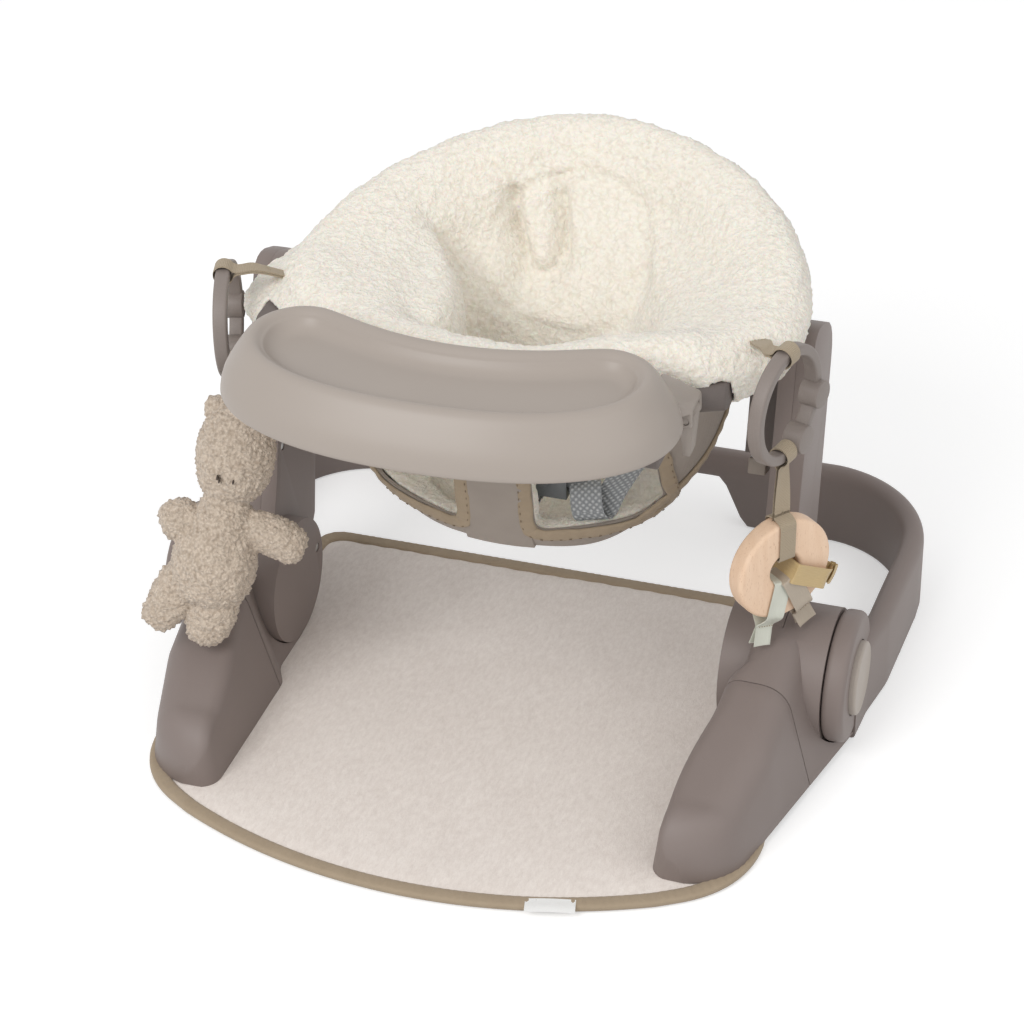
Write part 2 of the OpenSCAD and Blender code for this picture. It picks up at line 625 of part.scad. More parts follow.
// Clip hung under a shoulder behind the end of the tray. It hooks below the dock arm
hinge_x = arm_in_x + arm_t + 5;
hinge_y = -64;
hinge_z = arm_top_z - 5.5;
barrel_r = 4.5;
pin_r = 2.5;
module hinge_cyl(length, r) translate([hinge_x, hinge_y, hinge_z]) rotate([90, 0, 0])
    cylinder(h = length, r = r, center = true, $fn = 40);
module tray_shoulder(side) on_side(side) difference() {
    union() {
        hull() {
            translate([tray_half_w - 4, -98, tray_low_z + 3]) cube([3, 22, 25]);
            translate([hinge_x - 4.5, hinge_y - 13, tray_low_z - 0.3]) cube([9, 26, 3.5]);
        }
        for (y = [hinge_y - 13, hinge_y + 9]) translate([0, y, 0]) hull() {
            translate([hinge_x - 4.5, 0, tray_low_z - 0.3]) cube([9, 4, 2]);
            translate([hinge_x, 0, hinge_z]) rotate([-90, 0, 0]) cylinder(h = 4, r = 4.5);
        }
    }
    hinge_cyl(30, pin_r + 0.3);
}
module tray_top() color([0.70, 0.66, 0.62]) union() {
    skin([
        tray_ring(22, 0, -dish_depth),
        tray_ring(15, 0, 2.5 - dish_depth),
        tray_ring(10, 0, -4),
        tray_ring(8, 0, -0.8),
        tray_ring(4.5, 0, 0),
        tray_ring(1, 1, -1.6),
        tray_ring(0, 3.5, -6),
        tray_ring(0, 9, -14),
        tray_ring(0, 15, -23),
        tray_ring(0, tray_flare, -tray_skirt),
        tray_ring(tray_wall, tray_flare, -tray_skirt),
        tray_ring(tray_wall, 15, -23),
        tray_ring(tray_wall, 9, -14.5),
        tray_ring(tray_wall + 2, 3, -8),
        tray_ring(tray_wall + 6, 0, -7.5),
        tray_ring(tray_wall + 10, 0, -6 - tray_wall),
        tray_ring(tray_wall + 13, 0, 1 - dish_depth - tray_wall),
        tray_ring(tray_wall + 20, 0, -dish_depth - tray_wall)
    ]);
    for (side = [-1, 1]) tray_shoulder(side);
}

clip_drop = 30;
hook_z = arm_top_z - arm_h - 5.5;
module tray_clip(side) color([0.70, 0.66, 0.62]) on_side(side) {
    hull() {
        hinge_cyl(17, barrel_r);
        translate([hinge_x - 3, hinge_y - 7, hinge_z - clip_drop]) cube([5, 14, 4]);
    }
    hinge_cyl(25, pin_r);
    translate([arm_in_x + 8, hinge_y - 7, hook_z]) cube([hinge_x - arm_in_x - 8, 14, 4.5]);
}

// ---- toys ----

// The link rings hang outside the seat, turned about the vertical by link_yaw
link_yaw = 74;
function link_top(side) = side > 0 ? [206.5, -32, 330] : [-197, -16, 323];
module link_frame(side) translate(link_top(side)) rotate([0, 0, side * link_yaw]) children();
knob_r = 10;
knob_t = 13;
module link_ring(side) color([0.5, 0.47, 0.46]) link_frame(side) translate([0, 0, -link_r]) rotate([90, 0, 0]) {
    rotate_extrude($fn = 72) translate([link_r, 0]) offset(r = 1.5, $fn = 24)
        square([2 * link_section_r - 5.5, 2 * link_section_r - 3], center = true);
    for (a = [-14, -64]) rotate([0, 0, side > 0 ? a : 180 - a]) translate([link_r, 0, -1])
        cylinder(h = knob_t, r = knob_r, center = true);
}

strap_gap = 1.4;
loop_in = link_section_r + strap_gap;
// Loop of tape round the ring's section, with a tail of given length that leaves at an angle
module tape_loop(tail, angle) rotate([0, 90, 0]) linear_extrude(tape_w, center = true) difference() {
    union() {
        circle(r = loop_in + tape_t);
        rotate(angle) translate([0, -tape_t]) square([loop_in + tail, 2 * tape_t]);
    }
    circle(r = loop_in);
}
module toy_strap(side) color([0.69, 0.63, 0.54]) link_frame(side) tape_loop(side > 0 ? 25 : 29, side > 0 ? 86 : 98);

link_low = [0, 0, -2 * link_r];
hang_len = 46;
leaf_gap = 0.4;
wood_centre = link_low - [0, 0, loop_in + hang_len + wood_r];
wood_turn = 24;
module wood_frame() link_frame(1) translate(wood_centre) rotate([0, 0, -wood_turn]) rotate([90, 0, 0]) children();
module wooden_ring() color([0.9, 0.76, 0.65]) wood_frame() rotate_extrude($fn = 72) polygon([
    [wood_hole_r, -wood_t / 2 + 2], [wood_hole_r + 2, -wood_t / 2], [wood_r - 2, -wood_t / 2], [wood_r, -wood_t / 2 + 2],
    [wood_r, wood_t / 2 - 2], [wood_r - 2, wood_t / 2], [wood_hole_r + 2, wood_t / 2], [wood_hole_r, wood_t / 2 - 2]]);

// Two leaves of tape on either side of the wooden ring, joined by a narrow fold through its hole
module straddle(reach, layer, close) {
    off = wood_t / 2 + leaf_gap + layer * (tape_t + 0.2);
    inner = wood_hole_r - 2.1 - layer * (tape_t + 0.2);
    for (s = [0, 1]) mirror([0, 0, s]) translate([-tape_w / 2, inner - tape_t, off])
        cube([tape_w, reach - inner + tape_t, tape_t]);
    translate([-2.6, inner - tape_t, -off]) cube([5.2, tape_t, 2 * off]);
    if (close) translate([-tape_w / 2, reach - tape_t, -off]) cube([tape_w, tape_t, 2 * off]);
}
module toy_tape() color([0.69, 0.63, 0.54]) {
    link_frame(1) translate(link_low) tape_loop(hang_len - 1, 0);
    wood_frame() straddle(wood_r + leaf_gap + tape_t, 0, true);
}
module ribbon(angle, length, layer) wood_frame() rotate([0, 0, 180 + angle]) straddle(length, layer, false);
module ribbon_mint() color([0.77, 0.79, 0.72]) ribbon(-14, 64, 0);
module ribbon_taupe() color([0.70, 0.65, 0.58]) ribbon(24, 62, 1);
module ribbon_gold() color([0.77, 0.67, 0.47]) ribbon(62, 50, 2);

// Stuffed limb between two points, with radii at its ends and middle, flattened in depth
function plump_ring(p, q, s, r, flat) =
    let (d = (q - p) / norm(q - p), u = [d[2], 0, -d[0]], c = p + (q - p) * s)
    [for (k = [0:11]) c + u * r * cos(30 * k) - [0, 1, 0] * r * flat * sin(30 * k)];
module plump(p, q, r0, r1, r2, flat) skin([
    plump_ring(p, q, 0, r0 * 0.35, flat), plump_ring(p, q, 0.06, r0 * 0.75, flat), plump_ring(p, q, 0.2, r0, flat),
    plump_ring(p, q, 0.5, r1, flat), plump_ring(p, q, 0.8, r2, flat), plump_ring(p, q, 0.94, r2 * 0.75, flat),
    plump_ring(p, q, 1, r2 * 0.35, flat)]);

// The teddy hangs from the left link ring and leans on the foot in front of it
teddy_top = [-171, -66, 248];
teddy_turn = [-16, 12, 12];
teddy_flat = 0.78;
module teddy_frame() translate(teddy_top) rotate(teddy_turn) children();
module head_form() plump([3, 0, 0], [5, 0, -70], 22, 27, 23, teddy_flat);
module body_form() plump([4, 0, -62], [2, 0, -150], 20, 29, 29, teddy_flat);
module leg_form(side) plump(side > 0 ? [10, 0, -130] : [-12, 0, -124], side > 0 ? [5, 0, -180] : [-32, 0, -175],
    16, 17, 14, teddy_flat);
module teddy_head() color([0.80, 0.74, 0.65]) teddy_frame() head_form();
module teddy_ears() color([0.80, 0.74, 0.65]) teddy_frame() difference() {
    for (s = [-1, 1]) plump([3 + s * 14, 0, -16], [3 + s * 19, 0, 4], 9, 10, 8, 0.6);
    head_form();
}
module teddy_body() color([0.80, 0.74, 0.65]) teddy_frame() difference() {
    body_form();
    head_form();
}
module teddy_arm(side) color([0.80, 0.74, 0.65]) teddy_frame() difference() {
    plump([side * 15, 0, -83], side > 0 ? [64, 0, -96] : [-39, 0, -99], 13, 15, 14, teddy_flat);
    body_form();
    head_form();
}
module teddy_leg(side) color([0.80, 0.74, 0.65]) teddy_frame() difference() {
    leg_form(side);
    body_form();
    if (side < 0) leg_form(1);
}
// Tape from the lowest point of the left link ring to the back of the head
tape_end = [2, 12, -18];
module teddy_tape() color([0.69, 0.63, 0.54]) {
    link_frame(-1) translate(link_low) tape_loop(0, 0);
    difference() {
        hull() {
            translate(link_top(-1) + link_low - [0, 0, loop_in + tape_t]) rotate([0, 0, -link_yaw + 90])
                translate([-tape_w / 2, -1, -tape_t / 2]) cube([tape_w, 2, tape_t]);
            teddy_frame() translate(tape_end) translate([-tape_w / 2, -1, -tape_t / 2]) cube([tape_w, 2, tape_t]);
        }
        teddy_frame() head_form();
    }
}

mat_pad();
mat_binding();
mat_label();
foot(-1);  // foot_left
foot(1);  // foot_right
foot_nose(-1);  // foot_nose_left
foot_nose(1);  // foot_nose_right
base_covers();
base_screws();
hub_axles();
rear_loop();
loop_pads();
hub_button(-1);  // hub_button_left
hub_button(1);  // hub_button_right
upright_outer(-1);  // upright_outer_left
upright_outer(1);  // upright_outer_right
upright_inner(-1);  // upright_inner_left
upright_inner(1);  // upright_inner_right
upright_screws();
seat_ring();
carriage(-1);  // carriage_left
carriage(1);  // carriage_right
height_latch(-1);  // height_latch_left
height_latch(1);  // height_latch_right
seat_bucket();
plush_cover();
leg_bindings();
crotch_panel();
waist_strap_left();
waist_strap_right();
crotch_strap();
buckle_body();
buckle_tongue(-1);  // buckle_tongue_left
buckle_tongue(1);  // buckle_tongue_right
buckle_button();
tray_arm(-1);  // tray_arm_left
tray_arm(1);  // tray_arm_right
tray_top();
tray_clip(-1);  // tray_clip_left
tray_clip(1);  // tray_clip_right
toy_strap(-1);  // toy_strap_left
toy_strap(1);  // toy_strap_right
link_ring(-1);  // link_ring_left
link_ring(1);  // link_ring_right
teddy_tape();
teddy_head();
teddy_ears();
teddy_body();
teddy_arm(-1);  // teddy_arm_left
teddy_arm(1);  // teddy_arm_right
teddy_leg(-1);  // teddy_leg_left
teddy_leg(1);  // teddy_leg_right
toy_tape();
wooden_ring();
ribbon_mint();
ribbon_taupe();
ribbon_gold();
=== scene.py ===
import math

import bmesh
import bpy
from mathutils import Matrix, Vector, noise
from mathutils.bvhtree import BVHTree


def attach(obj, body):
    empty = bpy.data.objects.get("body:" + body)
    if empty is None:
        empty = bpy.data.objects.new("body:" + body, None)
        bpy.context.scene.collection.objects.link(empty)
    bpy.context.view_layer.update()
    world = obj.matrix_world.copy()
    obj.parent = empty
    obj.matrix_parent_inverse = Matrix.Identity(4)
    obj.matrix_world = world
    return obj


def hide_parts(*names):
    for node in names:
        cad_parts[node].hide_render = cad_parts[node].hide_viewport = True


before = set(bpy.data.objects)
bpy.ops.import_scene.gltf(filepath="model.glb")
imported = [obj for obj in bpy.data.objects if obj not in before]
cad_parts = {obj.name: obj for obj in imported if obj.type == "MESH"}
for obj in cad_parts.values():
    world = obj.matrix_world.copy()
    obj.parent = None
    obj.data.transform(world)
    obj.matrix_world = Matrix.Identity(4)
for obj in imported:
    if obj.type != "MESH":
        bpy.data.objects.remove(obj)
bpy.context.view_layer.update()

# ---- Floor mat ----
# The real piece is a thin quilted sheet of brushed cotton under both feet, its edge folded into a
# stitched binding. Drawn from its outline in rings, puffed a little and drawn down at the seam.
MM = 0.001


class Wire:
    """A socket of a material. Python's operators on it add Math nodes."""

    def __init__(self, tree, socket):
        self.tree = tree
        self.socket = socket

    def node(self, kind, out=0, stops=None, inputs=None, **settings):
        made = self.tree.nodes.new("ShaderNode" + kind)
        for key, value in settings.items():
            setattr(made, key, value)
        if stops:
            while len(made.color_ramp.elements) < len(stops):
                made.color_ramp.elements.new(0.5)
            for element, (at, colour) in zip(made.color_ramp.elements, stops):
                element.position = at
                element.color = colour
        for key, value in (inputs or {}).items():
            if isinstance(value, Wire):
                self.tree.links.new(value.socket, made.inputs[key])
            else:
                made.inputs[key].default_value = value
        return Wire(self.tree, made.outputs[out])

    def math(self, operation, *values):
        return self.node("Math", operation=operation, inputs=dict(enumerate(values)))

    def __add__(self, other):
        return self.math("ADD", self, other)

    def __sub__(self, other):
        return self.math("SUBTRACT", self, other)

    def __rsub__(self, other):
        return self.math("SUBTRACT", other, self)

    def __mul__(self, other):
        return self.math("MULTIPLY", self, other)

    __radd__ = __add__
    __rmul__ = __mul__

    def clamp(self, low=0.0, high=1.0):
        return self.math("MINIMUM", self.math("MAXIMUM", self, low), high)

    def noise(self, scale, detail=2.0, roughness=0.5):
        return self.node("TexNoise",
                         inputs={"Vector": self, "Scale": scale, "Detail": detail, "Roughness": roughness})

    def wave(self, direction, scale, distortion):
        return self.node("TexWave", wave_type="BANDS", bands_direction=direction,
                         inputs={"Vector": self, "Scale": scale, "Distortion": distortion})

    def cells(self, scale):
        return self.node("TexVoronoi", feature="SMOOTH_F1", inputs={"Vector": self, "Scale": scale})

    def stretched(self, x, y, z):
        return self.node("Mapping", inputs={"Vector": self, "Scale": (x, y, z)})

    def between(self, first, second):
        return self.node("Mix", out=2, data_type="RGBA", inputs={0: self, 6: first, 7: second})

    def bump(self, distance, strength):
        return self.node("Bump", inputs={"Height": self, "Distance": distance, "Strength": strength})


def paint(red, green, blue):
    """A colour as a screen shows it, 0 to 255, in the linear values that a shader takes."""
    return tuple(((c / 255 + 0.055) / 1.055) ** 2.4 for c in (red, green, blue)) + (1.0,)


class Finish:
    """A material under its own name, its pattern read from the piece's own place or along its length."""

    def __init__(self, name, **constants):
        self.material = bpy.data.materials.new(name)
        self.material.use_nodes = True
        self.tree = self.material.node_tree
        self.shader = self.tree.nodes["Principled BSDF"]
        for key, value in constants.items():
            self.shader.inputs[key.replace("_", " ")].default_value = value
        coordinates = self.tree.nodes.new("ShaderNodeTexCoord").outputs
        self.place = Wire(self.tree, coordinates["Object"])
        self.along = Wire(self.tree, coordinates["UV"])

    def set(self, **wires):
        for key, wire in wires.items():
            self.tree.links.new(wire.socket, self.shader.inputs[key.replace("_", " ")])
        return self


def as_object(name, bm):
    """Makes an object of a mesh under edit and puts it in the scene."""
    mesh = bpy.data.meshes.new(name)
    bm.to_mesh(mesh)
    bm.free()
    made = bpy.data.objects.new(name, mesh)
    bpy.context.scene.collection.objects.link(made)
    return made


def piece(name, bm, body, finish, stands_for=(), sharp=40):
    """Turns a mesh drawn in millimetres into a piece that rides on a body."""
    bmesh.ops.scale(bm, vec=(MM, MM, MM), verts=bm.verts)
    made = as_object(name, bm)
    made.data.shade_smooth()
    made.data.set_sharp_from_angle(angle=math.radians(sharp))
    made.data.materials.append(finish.material)
    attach(made, body)
    if stands_for:
        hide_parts(*stands_for)
    return made


def closed(bm, gap=0.01):
    """Merges the doubles of a mesh and turns its faces outwards."""
    bmesh.ops.remove_doubles(bm, verts=bm.verts, dist=gap)
    bmesh.ops.recalc_face_normals(bm, faces=bm.faces)
    return bm


def filled(bm, gap=0.001):
    """Closes a mesh after filling its open ends."""
    bmesh.ops.holes_fill(bm, edges=[e for e in bm.edges if e.is_boundary], sides=0)
    return closed(bm, gap)


def placed(bm, where):
    """Moves a mesh to its place."""
    bmesh.ops.transform(bm, matrix=where, verts=bm.verts)
    return bm


def verts_of(made):
    """The vertices among what an operator made."""
    return [g for g in made if isinstance(g, bmesh.types.BMVert)]


def thickened(bm, thick):
    """Gives a sheet its thickness."""
    bmesh.ops.solidify(bm, geom=bm.faces[:] + bm.edges[:] + bm.verts[:], thickness=thick)
    return bm


def draped_grid(rows, columns, place):
    """A grid whose points are put in place by their shares along its rows and columns."""
    bm = bmesh.new()
    bmesh.ops.create_grid(bm, x_segments=columns, y_segments=rows, size=1.0)
    for vert in bm.verts:
        vert.co = place((vert.co.x + 1) / 2, (vert.co.y + 1) / 2)
    return bm


def mixed(low, high, share):
    """Value at a share of the way from low to high."""
    return low + (high - low) * share


def ease(value, low, high):
    """Smooth step from 0 to 1 while a value goes from low to high."""
    share = min(1.0, max(0.0, (value - low) / (high - low)))
    return share * share * (3 - 2 * share)


def rounded(a, corner, b, radius, steps):
    """A corner of a line of points, rounded off by a curve of the given reach."""
    p = corner + (a - corner).normalized() * radius
    q = corner + (b - corner).normalized() * radius
    shares = [i / steps for i in range(steps + 1)]
    return [p * (1 - s) ** 2 + corner * 2 * s * (1 - s) + q * s * s for s in shares]


class Line:
    """A line through points, read by its share of the length."""

    def __init__(self, points, ring=False):
        self.points = [Vector(p) for p in points]
        if ring:
            self.points.append(self.points[0].copy())
        self.ring = ring
        self.at = [0.0]
        for a, b in zip(self.points, self.points[1:]):
            self.at.append(self.at[-1] + (b - a).length)
        self.length = self.at[-1]

    def __call__(self, share):
        want = share * self.length
        if self.ring:
            want %= self.length
        low, high = 0, len(self.at) - 1
        while high - low > 1:
            middle = (low + high) // 2
            if self.at[middle] <= want:
                low = middle
            else:
                high = middle
        step = self.at[high] - self.at[low] or 1.0
        return self.points[low].lerp(self.points[high], (want - self.at[low]) / step)

    def way(self, share):
        near = 0.5 / max(len(self.at), 2)
        if self.ring:
            return (self(share + near) - self(share - near)).normalized()
        return (self(min(1.0, share + near)) - self(max(0.0, share - near))).normalized()


MAT_THICK = 5.0
MAT_HALF_W = 226.0
MAT_FRONT_R = 400.0
MAT_FRONT_Y = 253.0
MAT_REAR_Y = 137.0
MAT_REAR_HALF = 204.0
MAT_SIDE_END_Y = -60.0
MAT_TOP_Z = 5.4
SEAM_PUCKERS = 74
BINDING_W = 11.0
BINDING_GATHERS = 240


def mat_outline(inset):
    """Points round the mat at a distance inside its edge: the front's arc, corners, sides and rear."""
    centre = MAT_FRONT_R - MAT_FRONT_Y
    r, w = MAT_FRONT_R - inset, MAT_HALF_W - inset
    corner_x = w - 6
    corner_y = centre - math.sqrt(r * r - corner_x * corner_x)
    edge = math.asin((corner_x - 46) / r)
    front = []
    for i in range(49):
        a = -math.pi / 2 - edge + 2 * edge * i / 48
        front.append(Vector((r * math.cos(a), centre + r * math.sin(a))))
    side_end = Vector((w, MAT_SIDE_END_Y))
    turn = rounded(front[-1], Vector((corner_x + 5, corner_y + 4)), side_end, 44, 14)
    rear = rounded(side_end, Vector((MAT_REAR_HALF - inset, MAT_REAR_Y - inset)),
                   Vector((0, MAT_REAR_Y - inset)), 16, 8)
    right = turn + rear
    return front + right + [Vector((-p.x, p.y)) for p in reversed(right)]


mat_edge = Line(mat_outline(BINDING_W - 1.5), ring=True)
MAT_MIDDLE = Vector((0, -50))


def mat_top(across, out):
    """Point of the mat's top at a share round its edge and a share from the middle outwards."""
    share = 1 - (1 - out) ** 1.4
    p = MAT_MIDDLE.lerp(mat_edge(across), share)
    seam = math.exp(-(1 - share) * 26)
    pucker = math.sin(across * math.tau * SEAM_PUCKERS + 2.2 * noise.noise((p.x * 0.02, p.y * 0.02, 0)))
    wave = noise.noise((p.x * 0.008, p.y * 0.008, 4.0)) + 0.4 * noise.noise((p.x * 0.025, p.y * 0.025, 9.0))
    return Vector((p.x, p.y, MAT_TOP_Z + 0.75 * wave + seam * (0.30 * pucker - 1.9)))


mat_bm = closed(draped_grid(56, 420, mat_top))
skirt = bmesh.ops.extrude_edge_only(mat_bm, edges=[e for e in mat_bm.edges if e.is_boundary])["geom"]
for vert in verts_of(skirt):
    vert.co.z = 0.4
filled(mat_bm, 0.01)

brushed = Finish("brushed_mat", Roughness=0.95, Sheen_Weight=0.25, Sheen_Roughness=0.6,
                 Specular_IOR_Level=0.2)
streak = brushed.place.stretched(1.0, 0.33, 1.0).noise(900, 3.0, 0.65)
flecks = brushed.place.stretched(1.0, 0.45, 1.0).noise(330, 5.0, 0.75)
cloud = brushed.place.noise(26, 3.0)
mat_tone = (flecks * 1.7 + cloud * 0.4 - 0.55).clamp()
brushed.set(
    Base_Color=mat_tone.between(paint(219, 208, 200), paint(244, 236, 229)),
    Normal=(streak * 0.6 + flecks * 0.8).bump(0.0009, 0.55))
mat = piece("floor_mat", mat_bm, "base", brushed, ["mat_pad"], sharp=80)

binding_line = Line(mat_outline(BINDING_W * 0.5), ring=True)


def swollen(value, power):
    """A sine or cosine pushed outwards by a power below 1, which squares a round section a little."""
    return math.copysign(abs(value) ** power, value)


def binding_skin(across, round_):
    """The binding's folded strip: flat underneath, rolled over on top, gathered a little along its seam."""
    p, d = binding_line(across), binding_line.way(across)
    outward = Vector((d.y, -d.x))
    a = round_ * math.tau
    gather = 0.28 * math.sin(across * math.tau * BINDING_GATHERS) * max(0.0, math.sin(a))
    x = swollen(math.cos(a), 0.6) * BINDING_W / 2
    z = 3.1 + swollen(math.sin(a), 0.75) * (3.0 + gather)
    return Vector((p.x + outward.x * x, p.y + outward.y * x, z))


binding_bm = closed(draped_grid(20, 900, binding_skin))
folded = Finish("folded_binding", Roughness=0.8, Sheen_Weight=0.15, Specular_IOR_Level=0.3)
twill = folded.place.noise(1400, 2.0)
cast_tone = (folded.place.noise(60, 3.0) * 0.9).clamp()
folded.set(
    Base_Color=cast_tone.between(paint(157, 140, 118), paint(172, 155, 133)),
    Normal=twill.bump(0.0006, 0.5))
piece("mat_edging", binding_bm, "base", folded, ["mat_binding"], sharp=80)


def stitch(bm, at, way, up, reach, thick):
    """Adds one short rounded stitch that lies along a direction."""
    side = way.cross(up).normalized()
    turn = Matrix((way, side, side.cross(way))).transposed().to_4x4()
    turn.translation = at
    bmesh.ops.create_icosphere(bm, subdivisions=1, radius=1.0,
                               matrix=turn @ Matrix.Diagonal((reach / 2, thick / 2, thick / 2, 1)))


def stitches(points, pitch, reach, thick, up):
    """Stitches at an even pitch along a line of points."""
    bm = bmesh.new()
    line = Line(points)
    count = max(1, int(line.length / pitch))
    for i in range(count):
        share = (i + 0.5) / count
        stitch(bm, line(share), line.way(share), Vector(up), reach, thick)
    return bm


def grained(name, scale, shade, light, depth, strength, detail=2.0, **constants):
    """A finish of two close tones in one fine grain, which also roughens its surface."""
    made = Finish(name, **constants)
    grain = made.place.noise(scale, detail)
    tone = grain.between(paint(*shade), paint(*light))
    return made.set(Base_Color=tone, Normal=grain.bump(depth, strength))


thread = grained("sewing_thread", 2200, (150, 134, 112), (178, 162, 138), 0.0003, 0.4,
                 Roughness=0.6, Specular_IOR_Level=0.4)
dark_thread = grained("brown_thread", 2200, (112, 96, 78), (136, 119, 98), 0.0003, 0.4,
                      Roughness=0.6, Specular_IOR_Level=0.4)
seam_line = Line([(p.x, p.y, 5.2) for p in mat_outline(BINDING_W - 2.2)], ring=True).points
seam = stitches(seam_line, pitch=3.4, reach=2.4, thick=0.8, up=(0, 0, 1))
piece("mat_seam", seam, "base", thread)

LABEL_AT = (105.0, -238.0, 6.35)
LABEL_TURN = math.radians(14)
LABEL_HALF_W = 17.0
LABEL_HALF_D = 6.5
LABEL_T = 0.5


def label_skin(u, v):
    """The label lies on the binding in a slight wave."""
    rise = 0.5 * math.sin(u * math.pi) + 0.35 * math.sin(v * 5)
    return Vector((mixed(-LABEL_HALF_W, LABEL_HALF_W, u), mixed(-LABEL_HALF_D, LABEL_HALF_D, v), rise))


label_bm = thickened(draped_grid(10, 24, label_skin), LABEL_T)
closed(placed(label_bm, Matrix.Translation(LABEL_AT) @ Matrix.Rotation(LABEL_TURN, 4, "Z")), 0.001)
satin_label = grained("blank_label", 1800, (232, 232, 230), (248, 248, 247), 0.0002, 0.4, 1.0,
                      Roughness=0.5, Specular_IOR_Level=0.4)
label = piece("mat_tag", label_bm, "base", satin_label, ["mat_label"])

# ---- Side feet ----
# Each foot is two injection-moulded shells with a fine parting line. The rear shell forks round the hub
# and the front one runs down to a rounded nose on the mat. Both are lofts through cross-sections.
SIDES = ((1, "right"), (-1, "left"))
FOOT_IN_X = 159.0
FOOT_OUT_X = 258.0
FOOT_FRONT_Y = 191.0
FOOT_NOSE_H = 52.0
FOOT_RISE = 0.37
FOOT_TAPER = 0.245
NOSE_IN_R = 14.0
NOSE_OUT_R = 34.0
NOSE_TOP_R = 30.0
NOSE_SPLIT_Y = 67.0
NOSE_RINGS = 34
SPLIT_GAP = 0.4
HUB_Z = 54.5
HUB_R = 47.5
HUB_WALL_IN = 207.5
HUB_WALL_OUT = 241.5


def foot_ring(d):
    """Cross-section of the right foot at a distance in front of the hub line."""
    tip = FOOT_FRONT_Y - d
    # Both walls and the top roll over towards the tip.
    lead, trail, down = (max(0, r - tip) for r in (NOSE_IN_R, NOSE_OUT_R, NOSE_TOP_R))
    out_x = FOOT_OUT_X - FOOT_TAPER * d
    xi = FOOT_IN_X + 9.4 * (1 - ease(d, 42, 66)) + NOSE_IN_R - math.sqrt(max(0, NOSE_IN_R ** 2 - lead ** 2))
    xo = out_x - NOSE_OUT_R + math.sqrt(max(0, NOSE_OUT_R ** 2 - trail ** 2))
    # The top slopes down from the hub to the nose.
    slope_end = FOOT_FRONT_Y - NOSE_TOP_R
    crown = FOOT_NOSE_H + (slope_end - min(max(d, 30), slope_end)) * FOOT_RISE
    top = crown - (FOOT_NOSE_H - MAT_THICK - 12) * (1 - math.sqrt(max(0, 1 - (down / NOSE_TOP_R) ** 2)))
    # The inner wall leans outwards on its way up, and the top's outer edge is rounded most.
    xit = xi + 0.31 * (1 - 0.55 * ease(d, 60, 150)) * min(73, top - MAT_THICK)
    xt = max(xit + 6, min(FOOT_IN_X + 63, out_x - 8) + (xo - out_x))
    low_in, high_in = Vector((xi, MAT_THICK)), Vector((xit, top))
    low_out, high_out = Vector((xo, MAT_THICK)), Vector((xt, top - 1))
    r = min(13, (xt - xit) * 0.4)
    ring = [low_in, low_out] + rounded(low_out, high_out, high_in, r * 1.5, 12)
    ring += rounded(high_out, high_in, low_in, r * 0.8, 12)
    return [Vector((p.x, -d, p.y)) for p in ring]


def lofted(rings):
    """A solid through rings of as many points each, with a face at both ends."""
    bm = bmesh.new()
    loops = [[bm.verts.new(p) for p in ring] for ring in rings]
    for before, after in zip(loops, loops[1:]):
        for i in range(len(after)):
            n = (i + 1) % len(after)
            bm.faces.new((before[i], before[n], after[n], after[i]))
    for ring in (loops[0], loops[-1]):
        bm.faces.new(ring)
    return closed(bm, 0.001)


def mirrored(bm, side):
    """The right-hand mesh for side 1, and its mirror image for side -1."""
    if side < 0:
        bmesh.ops.scale(bm, vec=(-1, 1, 1), verts=bm.verts)
        bmesh.ops.reverse_faces(bm, faces=bm.faces)
    return bm


def eased_edges(bm, radius, segments=3, over=35):
    """Rounds every edge sharper than an angle."""
    sharp = [e for e in bm.edges if len(e.link_faces) == 2 and e.calc_face_angle() > math.radians(over)]
    bmesh.ops.bevel(bm, geom=sharp, offset=radius, offset_type="OFFSET", segments=segments, profile=0.5,
                    affect="EDGES", clamp_overlap=True, material=-1)
    return bm


def rod(radius, length, sides, where=Matrix()):
    """A round bar along Z, put in place."""
    bm = bmesh.new()
    bmesh.ops.create_cone(bm, cap_ends=True, segments=sides, radius1=radius, radius2=radius, depth=length,
                          matrix=where)
    return bm


def drum(x0, x1, radius, round_off=0.0):
    """A disc or pin along the hub line, its rims rounded off."""
    where = Matrix.Translation(((x0 + x1) / 2, 0, HUB_Z)) @ Matrix.Rotation(math.pi / 2, 4, "Y")
    bm = rod(radius, x1 - x0, 96, where)
    return eased_edges(bm, round_off, 4) if round_off else bm


def evaluated(made):
    """What an object's modifiers make of it, as a mesh under edit."""
    graph = bpy.context.evaluated_depsgraph_get()
    result = bmesh.new()
    result.from_mesh(bpy.data.meshes.new_from_object(made.evaluated_get(graph)))
    return result


def joined(base, tools, how):
    """Unites or cuts a mesh with others and gives the result as a mesh under edit."""
    solids = []
    for bm in [base] + tools:
        bmesh.ops.recalc_face_normals(bm, faces=bm.faces)
        solids.append(as_object("blank", bm))
    for made in solids[1:]:
        cut = solids[0].modifiers.new("cut", "BOOLEAN")
        cut.operation = how
        cut.solver = "MANIFOLD"
        cut.object = made
    result = evaluated(solids[0])
    for made in solids:
        bpy.data.meshes.remove(made.data)
    return result


def flattened(bm):
    """Dissolves the needless edges that a cut leaves on flat faces."""
    bmesh.ops.dissolve_limit(bm, angle_limit=0.01, verts=bm.verts, edges=bm.edges)
    return bm


